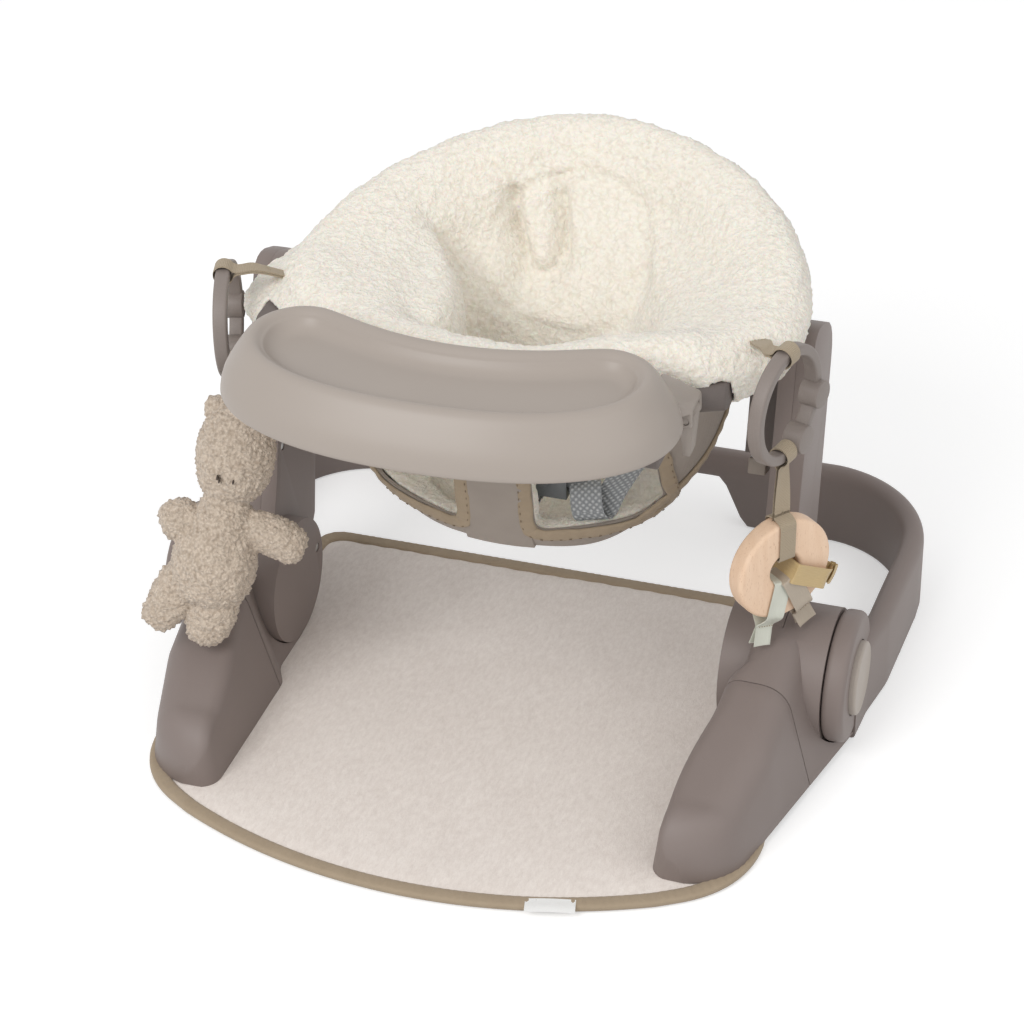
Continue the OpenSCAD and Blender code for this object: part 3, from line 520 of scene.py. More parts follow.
moulded = Finish("moulded_taupe", Roughness=0.5, Specular_IOR_Level=0.42)
spark = moulded.place.noise(1500, 2.0, 0.6)
broad = moulded.place.noise(14, 2.0)
moulded.set(
    Base_Color=(broad * 0.5 + spark * 0.3).clamp().between(paint(124, 112, 107), paint(138, 126, 121)),
    Roughness=(spark * 0.16 + 0.44),
    Normal=spark.bump(0.00025, 0.30))

for side, tag in SIDES:
    tip_y = FOOT_FRONT_Y - 0.6
    nose_length = tip_y - NOSE_SPLIT_Y - SPLIT_GAP
    nose = lofted([foot_ring(tip_y - nose_length * (i / NOSE_RINGS) ** 2.0) for i in range(NOSE_RINGS + 1)])
    piece("foot_nose_" + tag, eased_edges(mirrored(nose, side), 0.7, 2, 60), "base", moulded,
          ["foot_nose_" + tag])
    rear = lofted([foot_ring(1.0 + (NOSE_SPLIT_Y - SPLIT_GAP - 1.0) * i / 14) for i in range(15)])
    rear = joined(rear, [drum(HUB_WALL_IN, HUB_WALL_OUT, HUB_R)], "UNION")
    rear = joined(rear, [drum(FOOT_IN_X - 4, HUB_WALL_IN, HUB_R + 1),
                         drum(HUB_WALL_OUT, FOOT_OUT_X + 20, HUB_R + 1)], "DIFFERENCE")
    piece("foot_shell_" + tag, flattened(mirrored(rear, side)), "base", moulded,
          ["foot_" + tag])


def cast(node, radius=0.0, segments=3, over=35):
    """A copy of a CAD node with the soft edges that a moulding has."""
    bm = bmesh.new()
    bm.from_mesh(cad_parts[node].data)
    bmesh.ops.scale(bm, vec=(1 / MM, 1 / MM, 1 / MM), verts=bm.verts)
    bmesh.ops.remove_doubles(bm, verts=bm.verts, dist=0.002)
    bmesh.ops.dissolve_limit(bm, angle_limit=math.radians(0.8), verts=bm.verts, edges=bm.edges)
    return eased_edges(bm, radius, segments, over) if radius else bm


def cast_piece(name, node, body, slot, finish, *edges, sharp=40):
    """A piece that is the cast of the CAD node that it stands for."""
    return piece(name, cast(node, *edges), body, finish, [node], sharp)


plated = Finish("plated_screw", Metallic=1.0, Roughness=0.35)
scratch = plated.place.noise(900, 3.0)
plated.set(Base_Color=scratch.between(paint(170, 168, 165), paint(205, 203, 200)),
           Roughness=scratch * 0.25 + 0.25)
dark = grained("dark_nylon", 1300, (104, 96, 92), (116, 107, 103), 0.00025, 0.4,
               Roughness=0.6, Specular_IOR_Level=0.4)
cast_piece("foot_plates", "base_covers", "base", "dark_plastic", dark, 0.3, 2)
cast_piece("foot_screws", "base_screws", "base", "steel", plated, 0.5, 2)

# ---- Hub and rear loop ----
# One moulded frame runs from hub to hub round the back, on rubber pads, with an arch for a hand under
# its rear bar. Each end is a thick soft-edged boss on the hub pin, with a pale push button in it.
LOOP_T = 17.0
LOOP_H = 66.0
LOOP_REAR_Y = 255.0
LOOP_HALF_W = 272.0
LOOP_CORNER_R = 92.0
ARCH_H = 44.0
ARCH_HALF = 108.0
BOSS_IN_X = 242.0
BOSS_OUT_X = 258.0
BUTTON_R = 27.0
BUTTON_GAP = 0.7
BUTTON_FACE_X = 263.0
PIN_BORE_R = 8.1
WELL_FLOOR_X = BOSS_OUT_X - 7
loop_x = LOOP_HALF_W - LOOP_T / 2
loop_y = LOOP_REAR_Y - LOOP_T / 2
loop_bend = LOOP_CORNER_R - LOOP_T / 2
boss_x = BOSS_IN_X + LOOP_T / 2
bend_at = Vector((loop_x - loop_bend, loop_y - loop_bend))
half_loop = [Vector((boss_x, 0)), Vector((boss_x + 2, 30)), Vector((boss_x + 9, 68)),
             Vector((loop_x - 2.5, 105)), Vector((loop_x, bend_at.y - 10))]
half_loop += [bend_at + Vector((math.cos(a), math.sin(a))) * loop_bend
              for a in (math.radians(6 + 78 * i / 24) for i in range(25))]
half_loop.append(Vector((0, loop_y)))
loop_line = Line(half_loop + [Vector((-p.x, p.y)) for p in reversed(half_loop[:-1])])


def loop_ring(share):
    """Cross-section of the loop at a share of its length, from one hub round to the other."""
    p, d = loop_line(share), loop_line.way(share)
    s = Vector((d.y, -d.x))
    h = LOOP_T / 2
    z0 = ARCH_H * ease(ARCH_HALF + 12 - abs(p.x), 0, 26) if p.y > loop_y - 5 else 0.0
    crown = [(-h, LOOP_H - 12)] + [(-h * math.cos(a), LOOP_H - 12 + 12 * math.sin(a) ** 0.8)
                                   for a in (math.pi * i / 16 for i in range(1, 16))] + [(h, LOOP_H - 12)]
    foot = [(h, z0 + 2.5), (h - 0.8, z0 + 0.8), (h - 2.5, z0), (2.5 - h, z0), (0.8 - h, z0 + 0.8),
            (-h, z0 + 2.5)]
    return [Vector((p.x + s.x * q[0], p.y + s.y * q[0], q[1])) for q in crown + foot]


loop_bm = lofted([loop_ring(i / 160) for i in range(161)])
bosses, wells = [], []
for side, tag in SIDES:
    bosses.append(mirrored(drum(BOSS_IN_X, BOSS_OUT_X, HUB_R, round_off=5.0), side))
    wells.append(mirrored(drum(WELL_FLOOR_X, BOSS_OUT_X + 10, BUTTON_R + BUTTON_GAP), side))
    wells.append(mirrored(drum(BOSS_IN_X - 5, WELL_FLOOR_X + 1, PIN_BORE_R), side))
loop_bm = flattened(joined(joined(loop_bm, bosses, "UNION"), wells, "DIFFERENCE"))
piece("rear_loop_frame", loop_bm, "rear_frame", moulded, ["rear_loop"])

rubber = grained("foot_rubber", 1200, (38, 37, 36), (52, 50, 49), 0.0003, 0.4,
                 Roughness=0.9, Specular_IOR_Level=0.3)
cast_piece("loop_feet", "loop_pads", "rear_frame", "rubber_pads", rubber, 0.3, 2)
cast_piece("hub_pins", "hub_axles", "base", "steel", plated, 0.5, 2)


def turned(profile, steps, ring=True):
    """A solid spun about Z from points given as radius and height."""
    bm = bmesh.new()
    verts = [bm.verts.new((r, 0, z)) for r, z in profile]
    for a, b in zip(verts, verts[1:] + (verts[:1] if ring else [])):
        bm.edges.new((a, b))
    bmesh.ops.spin(bm, geom=bm.verts[:] + bm.edges[:], cent=(0, 0, 0), axis=(0, 0, 1), angle=math.tau,
                   steps=steps, use_merge=True)
    return closed(bm)


pale = grained("pale_button", 1500, (168, 157, 147), (180, 170, 160), 0.0002, 0.3,
               Roughness=0.5, Specular_IOR_Level=0.4)
cap_skirt = BUTTON_FACE_X - BOSS_OUT_X + 1.5
CAP_PROFILE = [(0.0, 3.0), (10.0, 3.0), (10.0, cap_skirt), (BUTTON_R - 0.2, cap_skirt), (BUTTON_R - 0.2, 2.4),
               (BUTTON_R - 0.6, 1.2), (BUTTON_R - 1.6, 0.5), (BUTTON_R - 3.0, 0.3), (BUTTON_R - 4.2, 0.9),
               (4.0, 0.9), (0.0, 0.9)]
hub_line = Matrix.Translation((0, 0, HUB_Z)) @ Matrix.Rotation(math.pi / 2, 4, "Y")
for side, tag in SIDES:
    cap = placed(turned([(r, BUTTON_FACE_X - sunk) for r, sunk in CAP_PROFILE], 96, ring=False), hub_line)
    piece("release_" + tag, mirrored(cap, side), "hub_button_" + tag[0], pale,
          ["hub_button_" + tag])

# ---- Uprights ----
# Two half shells of taupe plastic make each leaning blade. They meet at a fine seam and are held by screws in
# round recesses. They, the carriages, latches and dock arms are CAD solids with their edges rounded.
for tag in ("left", "right"):
    for shell in ("outer", "inner"):
        half = "%s_%s" % (shell, tag)
        cast_piece("blade_" + half, "upright_" + half, "uprights", "taupe_plastic", moulded, 1.0)
cast_piece("blade_screws", "upright_screws", "uprights", "steel", plated, 0.3, 2)
for tag in ("left", "right"):
    cast_piece("carriage_block_" + tag, "carriage_" + tag, "seat", "dark_plastic", dark, 1.2)
    cast_piece("latch_" + tag, "height_latch_" + tag, "latch_" + tag[0], "pale_plastic", pale, 1.2)
    cast_piece("dock_arm_" + tag, "tray_arm_" + tag, "seat", "dark_plastic", dark, 2.0, 4)

# ---- Seat ring and sling ----
# A bent steel tube carries everything. The sling is plain cloth sewn to it, with bound leg holes and a panel
# between them. It is two layers of one surface, bridged at the rim and cut for the legs.
RING_Z = 290.0
RING_HALF_W = 165.0
RIM_HALF_W = 202.0
RIM_Z = RING_Z + 34
BACK_Z = RIM_Z + 45
CROTCH_HALF = 27.0
FABRIC_T = 3.0
LEG_TOP = 262.0
LEG_CUT_Y = -140.0
LEG_CUT_DEPTH = 164.0
SLING = [[150, -38, 178, 262, 262, 306], [144, -32, 166, 228, 232, 262], [130, -27, 144, 190, 196, 214],
         [104, -22, 118, 158, 160, 165], [68, -13, 90, 136, 131, 130], [28, 12, 58, 127, 121, 120],
         [2, 30, 38, 126, 120, 119]]


def oval(level, turn):
    """Point of a ring round the seat: half width, front and back y, then its front, side and back height."""
    w, front, back, z_front, z_side, z_back = level
    middle = front + (back - front) * 0.36
    f = -math.cos(turn)
    y = middle + f * (middle - front if f < 0 else back - middle)
    z = z_side + (z_front - z_side) * f * f if f < 0 else z_side + (z_back - z_side) * f ** 1.35
    return Vector((w * math.sin(turn), y, z))


def through(levels, share):
    """Level at a share of a list of levels, on a smooth curve through them."""
    t = share * (len(levels) - 1)
    i = min(int(t), len(levels) - 2)
    t -= i
    a, b, c, d = (levels[max(0, min(len(levels) - 1, i + k))] for k in (-1, 0, 1, 2))
    return [0.5 * (2 * q + (r - p) * t + (2 * p - 5 * q + 4 * r - s) * t * t
                   + (3 * q - p - 3 * r + s) * t ** 3) for p, q, r, s in zip(a, b, c, d)]


def grown(level, t):
    """The same level on a surface outside it by a thickness."""
    return [level[0] + t, level[1] - t, level[2] + t, level[3] - t, level[4] - t, level[5] - t]


LEG_OUTLINE = [(CROTCH_HALF + 1, 151), (102, 163), (114, 176), (112, 215), (100, LEG_TOP - 12), (88, LEG_TOP),
               (CROTCH_HALF + 1, LEG_TOP)]


def leg_prism(side):
    """The shape that a leg hole cuts through the front of the seat."""
    points = [Vector((x, z)) for x, z in LEG_OUTLINE]
    ring = []
    for i, p in enumerate(points):
        ring += rounded(points[i - 1], p, points[(i + 1) % len(points)], 9, 6)
    bm = bmesh.new()
    face = bm.faces.new([bm.verts.new((p.x, LEG_CUT_Y, p.y)) for p in ring])
    made = bmesh.ops.extrude_face_region(bm, geom=[face])["geom"]
    bmesh.ops.translate(bm, verts=verts_of(made), vec=(0, LEG_CUT_DEPTH, 0))
    bmesh.ops.recalc_face_normals(bm, faces=bm.faces)
    return mirrored(bm, side)


def sling_sag(p):
    """Slack folds that run down the sling's sides, gone at its bottom."""
    around = math.atan2(p.x, p.y - 40)
    fold = 1.3 * noise.noise((around * 3.2, p.z * 0.012, 3.1))
    fold += 0.5 * noise.noise((around * 9, p.z * 0.02, 8.4))
    return Vector((p.x, p.y, 0)).normalized() * fold * ease(p.z, 123, 146)


def added(bm, other):
    """Puts the faces of another mesh beside a mesh's own."""
    mesh = bpy.data.meshes.new("blank")
    other.to_mesh(mesh)
    other.free()
    bm.from_mesh(mesh)
    bpy.data.meshes.remove(mesh)
    return bm


def sling_shell(outer, inner):
    """The sling's cloth between an outer and an inner layer, bridged along the rim."""
    bm = bmesh.new()
    for grow in (outer, inner):
        layer = draped_grid(72, 200, lambda u, v: oval(grown(through(SLING, v), grow), u * math.tau))
        for vert in layer.verts:
            vert.co += sling_sag(vert.co)
        bmesh.ops.remove_doubles(layer, verts=layer.verts, dist=0.001)
        added(bm, layer)
    rims = [e for e in bm.edges if e.is_boundary and e.verts[0].co.z > 200]
    bmesh.ops.bridge_loops(bm, edges=rims)
    return filled(bm)


cloth = Finish("sling_cloth", Roughness=0.85, Sheen_Weight=0.12, Specular_IOR_Level=0.25)
across_threads, down_threads = (cloth.place.wave(way, 420.0, 1.2) for way in ("X", "Z"))
cloth_tone = (cloth.place.noise(40, 4.0) * 0.8 + across_threads * 0.1).clamp()
cloth.set(Base_Color=cloth_tone.between(paint(154, 144, 135), paint(174, 164, 155)),
          Normal=(across_threads + down_threads).bump(0.0002, 0.5))
sling = sling_shell(FABRIC_T - 0.2, 0.9)
sling_face = BVHTree.FromBMesh(sling)
sling = joined(sling, [leg_prism(1), leg_prism(-1)], "DIFFERENCE")
basket = piece("sling", sling, "seat", cloth, ["seat_bucket"])

powder = grained("powder_coat", 1000, (112, 105, 100), (122, 115, 110), 0.0002, 0.3, Roughness=0.4)
cast_piece("ring_tube", "seat_ring", "seat", "ring_tube", powder, sharp=70)


def on_sling(x, z):
    """Point and outward direction of the sling's outside, straight in from the front."""
    spot = None
    while not spot:
        spot, outward, _, _ = sling_face.ray_cast(Vector((x, -300, z)), Vector((0, 1, 0)))
        x -= math.copysign(1.0, x)
    return spot, outward


def on_side(turn, z):
    """The same, straight in towards the seat's middle at an angle from the front."""
    inward = Vector((-math.sin(turn), math.cos(turn), 0))
    spot, outward, _, _ = sling_face.ray_cast(Vector((0, 45, z)) - inward * 300, inward)
    return spot, outward


def edging(path, half, thick, gather):
    """A folded strip sewn over an edge, from points and outward directions along it."""
    def at(share):
        t = min(1.0, max(0.0, share)) * (len(path) - 1)
        i = min(int(t), len(path) - 2)
        return path[i][0].lerp(path[i + 1][0], t - i), path[i][1].lerp(path[i + 1][1], t - i).normalized()

    def skin(across, round_):
        p, up = at(across)
        side = (at(across + 0.01)[0] - at(across - 0.01)[0]).cross(up).normalized()
        a = round_ * math.tau
        pucker = gather * math.sin(across * len(path) * 2.1) * max(0.0, math.sin(a))
        wide = half * (1 + 0.06 * math.sin(across * len(path) * 0.83))
        return (p + side * wide * swollen(math.cos(a), 0.7)
                + up * (thick * 0.42 + (thick / 2 + pucker) * swollen(math.sin(a), 0.8)))

    return filled(closed(draped_grid(14, 5 * len(path), skin)))


LEG_EDGE = [(CROTCH_HALF - 4, 256), (CROTCH_HALF - 4, 160), (CROTCH_HALF - 2, 151), (CROTCH_HALF + 6, 148),
            (70, 152), (103, 158), (114, 165), (119, 178), (117, 214), (107, 246), (98, 257)]
for side, tag in SIDES:
    hole = Line([(side * x, z, 0) for x, z in LEG_EDGE])
    rim_path = [on_sling(*hole(i / 90).xy) for i in range(91)]
    riser_path = [on_side(side * math.radians(mixed(66, 103, i / 40)), mixed(157, 268, (i / 40) ** 1.15))
                  for i in range(41)]
    trim = added(edging(rim_path, half=5.6, thick=3.4, gather=0.35),
                 edging(riser_path, half=4.6, thick=3.2, gather=0.3))
    stood_for = ["leg_bindings"] if side > 0 else []
    piece("leg_hole_edging_" + tag, trim, "seat", folded, stood_for, sharp=70)
    sewn_line = [(p + up * 3.1 + (q - p).cross(up).normalized() * 3.6 * side, up)
                 for (p, up), (q, _) in zip(rim_path, rim_path[1:])]
    thread_bm = bmesh.new()
    for (p, up), (q, _) in zip(sewn_line[::2], sewn_line[1::2]):
        stitch(thread_bm, (p + q) / 2, (q - p).normalized(), up, reach=2.6, thick=0.9)
    piece("leg_hole_stitches_" + tag, thread_bm, "seat", dark_thread)
cast_piece("panel_between_legs", "crotch_panel", "seat", "sling_fabric", cloth, 0.6, 2)

# ---- Plush cover ----
# A thick cover of curly pile, stuffed over the ring tube and pulled down inside as the seat's lining. It is
# one loft with the lining's sewn tucks in it, cut for the legs and the uprights, and then given its pile.
PLUSH = [[3, 34, 38, 139, 136, 135], [30, 12, 60, 141, 137, 135], [60, -8, 84, 150, 147, 147],
         [74, -16, 98, 176, 182, 190], [84, -22, 112, 232, 240, 250], [95, -27, 142, 268, 284, 292],
         [115, -33, 167, RIM_Z - 23, RIM_Z - 18, RIM_Z - 6],
         [128, -37, 177, RIM_Z - 18, RIM_Z - 13, BACK_Z - 30],
         [146, -43, 186, RIM_Z - 9, RIM_Z - 4, BACK_Z - 12],
         [RIM_HALF_W - 26, -58, 200, RIM_Z - 5, RIM_Z, BACK_Z - 3],
         [RIM_HALF_W - 10, -70, 212, RIM_Z - 12, RIM_Z - 7, BACK_Z - 10],
         [RIM_HALF_W - 2, -78, 219, RING_Z + 11, RING_Z + 13, RING_Z + 50],
         [RIM_HALF_W - 6, -77, 217, RING_Z - 7, RING_Z - 6, RING_Z + 27],
         [RIM_HALF_W - 16, -69, 208, RING_Z - 13, RING_Z - 14, RING_Z + 18],
         [RING_HALF_W + 13, -64, 205, RING_Z - 8, RING_Z - 9, RING_Z + 22],
         [RING_HALF_W - 13, -42, 184, RING_Z - 14, RING_Z - 14, RING_Z + 20],
         [150.5, -38.5, 178.5, 262, 262, 306]] + SLING[1:6] + [[3, 34, 38, 126, 121, 120]]
TUCKS = [((-43, 320), (-37, 296), 14.0, 27.0, 6.0), ((-37, 296), (-24, 270), 27.0, 20.0, 7.0),
         ((-24, 270), (-22, 248), 20.0, 0, 9.0), ((-11, 325), (-2, 296), 8.0, 22.0, 5.5),
         ((-2, 296), (1, 281), 22.0, 19.0, 6.0), ((1, 281), (-7, 269), 19.0, 13.0, 6.0),
         ((-24, 270), (-7, 269), 13.0, 13.0, 6.0), ((52, 318), (66, 286), 2.0, 14.0, 8.0),
         ((66, 286), (60, 258), 14.0, 5.0, 10.0)]
LEAN = 17.0
UPRIGHT_ROOM = (181, 246, -13, 82, 100, 252)
CARRIAGE_ROOM = (158, 186, 7, 41, 148, 243)
ARM_ROOM = (131.5, 146.5, -123, -43, 285, 302)
ARM_ROOT_ROOM = (146, 169, -39, 6, 279, 302)


def sewn_in(p):
    """How far the tucks draw a point of the lining back, from the nearest of them."""
    deepest = 0.0
    for a, b, deep, deeper, wide in TUCKS:
        start, run = Vector(a), Vector(b) - Vector(a)
        q = Vector((p.x, p.z)) - start
        along = min(1.0, max(0.0, q.dot(run) / run.length_squared))
        away = (q - run * along).length
        deepest = max(deepest, mixed(deep, deeper, along) * math.exp(-(away / wide) ** 2))
    return deepest


def plush_skin(across, inward):
    """Point of the cover at a share round it and a share from the lining's middle over the rim and under."""
    p = oval(through(PLUSH, inward), across * math.tau)
    inside = inward < 0.46
    # The whole rim sits over to the right, less so on its inner side.
    lean = ease(p.z, 286, 314) * (mixed(0.35, 1.0, ease(p.z, 290, 324)) if inside else 1.0)
    p.x += lean * (LEAN - 12 * p.x / RIM_HALF_W)
    # The left wing has slumped inwards over the seat.
    if inside and p.x < 0:
        lip = -27 - 0.34 * p.y - 0.005 * (p.y - 34) ** 2
        reach = ease(-p.x, 14, 60) * ease(p.z, 155, 225) * (1 - ease(inward, 0.22, 0.42))
        p.x += max(0.0, lip - p.x) * reach * (1 - ease(p.y, 84, 122)) * ease(p.y, -46, -8)
    # The front of the rim swells up over the right leg hole.
    if p.y < 10 and inward > 0.2:
        reach = ease(p.x, 25, 95) * (1 - ease(p.x, 130, 175)) * (1 - ease(inward, 0.5, 0.62))
        p.z += 9 * reach * ease(-p.y, -10, 30)
    if inside and p.y > 60:
        p.y += sewn_in(p)
    # A padded panel is outlined behind the tucks.
    if inside and p.y > 80 and p.z > 240:
        panel = math.hypot((p.x - 8) / 66, (p.z - 286) / 50)
        outline = 5.0 * math.exp(-((panel - 0.95) / 0.07) ** 2)
        p.y += (outline - 4.0 * ease(panel, 1.25, 0.9)) * ease(p.x, -60, -38)
    wobble = 3.2 * noise.noise((p.x * 0.013, p.y * 0.013, p.z * 0.016))
    wobble += 1.3 * noise.noise((p.x * 0.035, p.y * 0.035, p.z * 0.04))
    away = Vector((p.x, p.y - 60, 0)).normalized()
    return p + away * wobble * ease(p.z, 150, 280)


def slab(x0, x1, y0, y1, z0, z1, turn=Matrix()):
    """A box between opposite faces, turned with what it belongs to."""
    bm = bmesh.new()
    middle = Matrix.Translation(((x0 + x1) / 2, (y0 + y1) / 2, (z0 + z1) / 2))
    sizes = Matrix.Diagonal((x1 - x0, y1 - y0, z1 - z0, 1))
    bmesh.ops.create_cube(bm, size=1.0, matrix=turn @ middle @ sizes)
    return bm


in_blade = Matrix.Translation((0, 0, HUB_Z)) @ Matrix.Rotation(math.radians(-15), 4, "X")
plush_bm = filled(closed(draped_grid(300, 300, plush_skin), 0.001))
cuts = []
for side, tag in SIDES:
    cuts.append(leg_prism(side))
    for room, turn in ((UPRIGHT_ROOM, in_blade), (CARRIAGE_ROOM, in_blade), (ARM_ROOM, Matrix()),
                       (ARM_ROOT_ROOM, Matrix())):
        cuts.append(mirrored(slab(*room, turn), side))
plush_bm = joined(plush_bm, cuts, "DIFFERENCE")


def remeshed(bm, size, rounds):
    """The same solid with an even mesh, smoothed a few times."""
    made = as_object("blank", bm)
    even = made.modifiers.new("even", "REMESH")
    even.mode = "VOXEL"
    even.voxel_size = size
    result = evaluated(made)
    bpy.data.meshes.remove(made.data)
    for _ in range(rounds):
        bmesh.ops.smooth_vert(result, verts=result.verts, factor=0.5, use_axis_x=True, use_axis_y=True,
                              use_axis_z=True)
    return result


# noise_vector draws its offsets from this seed, or from the clock without one.
noise.seed_set(1)


def piled(bm, height, curl, seed):
    """Raises a mesh into small uneven curls of pile along its normals."""
    bm.normal_update()
    moves = []
    for vert in bm.verts:
        p = vert.co
        drift = noise.noise_vector(p * (0.5 / curl)) * curl * 0.5
        q = (p + drift) / curl
        cell = noise.voronoi(q + Vector((seed, 0, 0)), distance_metric="DISTANCE")[0]
        tuft = 1 - min(1.0, cell[0] * 1.5)
        fleece = noise.noise(p / (curl * 4) + Vector((0, seed, 0)))
        moves.append(vert.normal * height * (tuft * 1.15 + fleece * 0.45 - 0.25))
    for vert, move in zip(bm.verts, moves):
        vert.co += move
    return bm


plush_bm = remeshed(plush_bm, 2.3, rounds=1)
piled(plush_bm, height=1.5, curl=4.8, seed=1.0)
pile = Finish("curly_pile", Roughness=1.0, Sheen_Weight=0.35, Sheen_Roughness=0.5, Specular_IOR_Level=0.1,
              Subsurface_Weight=0.12, Subsurface_Scale=0.004)
swirl = pile.place.node("TexNoise", out=1, inputs={"Vector": pile.place, "Scale": 170.0})
drift = pile.place.node("VectorMath", operation="MULTIPLY_ADD",
                        inputs={0: swirl, 1: (0.006, 0.006, 0.006), 2: pile.place})
curls = drift.cells(360.0)
lint = pile.place.noise(1500, 3.0, 0.7)
twist = drift.noise(430, 2.0, 0.6)
# Besides random tone from twist and lint, the curls' cell edges, which are the bump's hollows, are painted
# darker: painted shade between the curls.
pile_tone_and_painted_shade = (1.25 - curls * 1.1 + twist * 0.5 - 0.2 + lint * 0.3 - 0.15).clamp()
pile.set(Base_Color=pile_tone_and_painted_shade.between(paint(222, 212, 195), paint(250, 244, 232)),
         Normal=(curls * -1.2 + lint * 0.4 + twist * 0.9).bump(0.0020, 0.6))
plush = piece("plush_lining", plush_bm, "seat", pile, ["plush_cover"], sharp=180)

# ---- Harness ----
# Woven straps come out of the lining to a moulded buckle with a round push button. Each strap is a strip
# drawn along its path, its weave laid on by its own length and width.
WEB_W = 20.0
WEB_T = 1.5
RIGHT_WEB_W = 23.0
BUCKLE_X = 27.0


def strip(points, width, thick, side=(0, 1, 0), steps=60, sag=0.0):
    """A flat woven strip along a line, its width along one direction, with a UV map for its weave."""
    line = Line(points)
    bm = bmesh.new()
    bmesh.ops.create_grid(bm, x_segments=steps, y_segments=8, size=1.0, calc_uvs=False)
    uv = bm.loops.layers.uv.new("weave")
    shares = {v: ((v.co.x + 1) / 2, v.co.y / 2) for v in bm.verts}
    for face in bm.faces:
        for loop in face.loops:
            s, t = shares[loop.vert]
            loop[uv].uv = (s * line.length / 1000, t * width / 1000)
    for vert, (s, t) in shares.items():
        across = Vector(side(s) if callable(side) else side).normalized()
        up = across.cross(line.way(s)).normalized()
        vert.co = line(s) + across * t * width + up * sag * (1 - 4 * t * t)
    thickened(bm, thick)
    bmesh.ops.recalc_face_normals(bm, faces=bm.faces)
    return bm


def curve(points, steps=8):
    """A smooth line through points."""
    levels = [list(p) for p in points]
    count = (len(levels) - 1) * steps
    return [Vector(through(levels, i / count)) for i in range(count + 1)]


woven = Finish("woven_webbing", Roughness=0.75, Specular_IOR_Level=0.3)
ribs = woven.along.wave("DIAGONAL", 130.0, 0.6)
picks = woven.along.stretched(1.0, -1.0, 1.0).wave("DIAGONAL", 130.0, 0.6)
woven.set(Base_Color=(ribs * picks).clamp().between(paint(142, 145, 147), paint(204, 206, 207)),
          Normal=(ribs + picks).bump(0.0005, 0.8))
RIGHT_WEB = [(58, 3, 183), (60, -4, 181), (61.5, -8, 175), (63, -9.5, 167), (65, -8.5, 161),
             (68, -4.5, 158.6), (71, -0.5, 162), (76, 2, 175), (85, 4, 192), (94, 5, 208)]
LEFT_WEB = [(BUCKLE_X - 31, 4, 182), (-14, 4, 176), (-28, 4, 173), (-44, 4, 177), (-58, 4, 190),
            (-66, 4, 204)]
CROTCH_WEB = [(14, 4, 152.5), (20, 4, 158), (25, 4, 163), (BUCKLE_X, 4, 166.2)]
for name, points, across, width, node in (
        ("waist_web_right", RIGHT_WEB, (0.96, 0.1, 0.2), RIGHT_WEB_W, "waist_strap_right"),
        ("waist_web_left", LEFT_WEB, (0, 1, 0), WEB_W, "waist_strap_left"),
        ("crotch_web", CROTCH_WEB, (0, 1, 0), WEB_W, "crotch_strap")):
    piece(name, strip(curve(points), width, WEB_T, across), "seat", woven, [node], sharp=60)
buckled = grained("buckle_plastic", 1400, (104, 107, 109), (116, 119, 121), 0.0002, 0.3,
                  Roughness=0.45, Specular_IOR_Level=0.45)
cast_piece("buckle_shell", "buckle_body", "seat", "buckle_plastic", buckled, 2.0, 4, 60)
for tag in ("left", "right"):
    cast_piece("buckle_end_" + tag, "buckle_tongue_" + tag, "seat", "buckle_plastic", buckled, 1.2)
cast_piece("buckle_push", "buckle_button", "harness_button", "buckle_plastic", buckled, 0.6)

# ---- Tray ----
# A satin moulded tray with a soft rolled rim, horns at both ends and a flared skirt. It rests on two dock
# arms. Behind each end a shoulder carries a sprung clip that hooks below the arm.
TRAY_TOP_Z = 340.0
TRAY_SKIRT = 38.0
TRAY_HALF_W = 139.0
TRAY_FRONT_Y = 175.0
TRAY_BACK_Y = 91.0
HORN_R = 36.0
HORN_Y = 104.0
TRAY_LOW_Z = TRAY_TOP_Z - TRAY_SKIRT
TRAY_SQUARED = 0.88
TRAY_SOFTENING = 9
CLIP_X = 151.0
CLIP_Y = -64.0
CLIP_HALF_D = 13.0
CHEEK_T = 4.0
CHEEK_HALF_W = 4.5
CLIP_PIN_Z = TRAY_LOW_Z - 6.0
CLIP_BORE_R = 2.9


def tray_outline(inset, flare):
    """Points round the tray, inset from its edge: a horn, the waist, the other horn and the front."""
    w, f, hy, hx = TRAY_HALF_W - inset + flare, TRAY_FRONT_Y - inset + flare, -HORN_Y, TRAY_HALF_W - HORN_R
    right, back = [], []
    for i in range(25):
        a = math.radians(112 * i / 24)
        r = HORN_R - inset + flare * max(0.0, math.cos(a))
        right.append(Vector((hx + r * math.cos(a), hy + r * math.sin(a))))
    for i in range(1, 32):
        x = (hx - 20) * (1 - i / 16)
        back.append(Vector((x, -TRAY_BACK_Y - inset + 17 * (abs(x) / (hx - 20)) ** 2.0)))
    left = [Vector((-p.x, p.y)) for p in reversed(right)]
    front = []
    for i in range(1, 72):
        a = math.radians(180 - 180 * i / 72)
        x, y = (swollen(v, TRAY_SQUARED) for v in (math.cos(a), math.sin(a)))
        front.append(Vector((w * x, hy - (f + hy) * y)))
    return right + back + left + front


def tray_ring(inset, flare, z):
    """The tray's outline at a height, its corners softened."""
    points = tray_outline(inset, flare)
    n = len(points)
    for _ in range(TRAY_SOFTENING):
        points = [(points[i - 1] + points[i] * 2 + points[(i + 1) % n]) / 4 for i in range(n)]
    return [Vector((p.x, p.y, z)) for p in points]


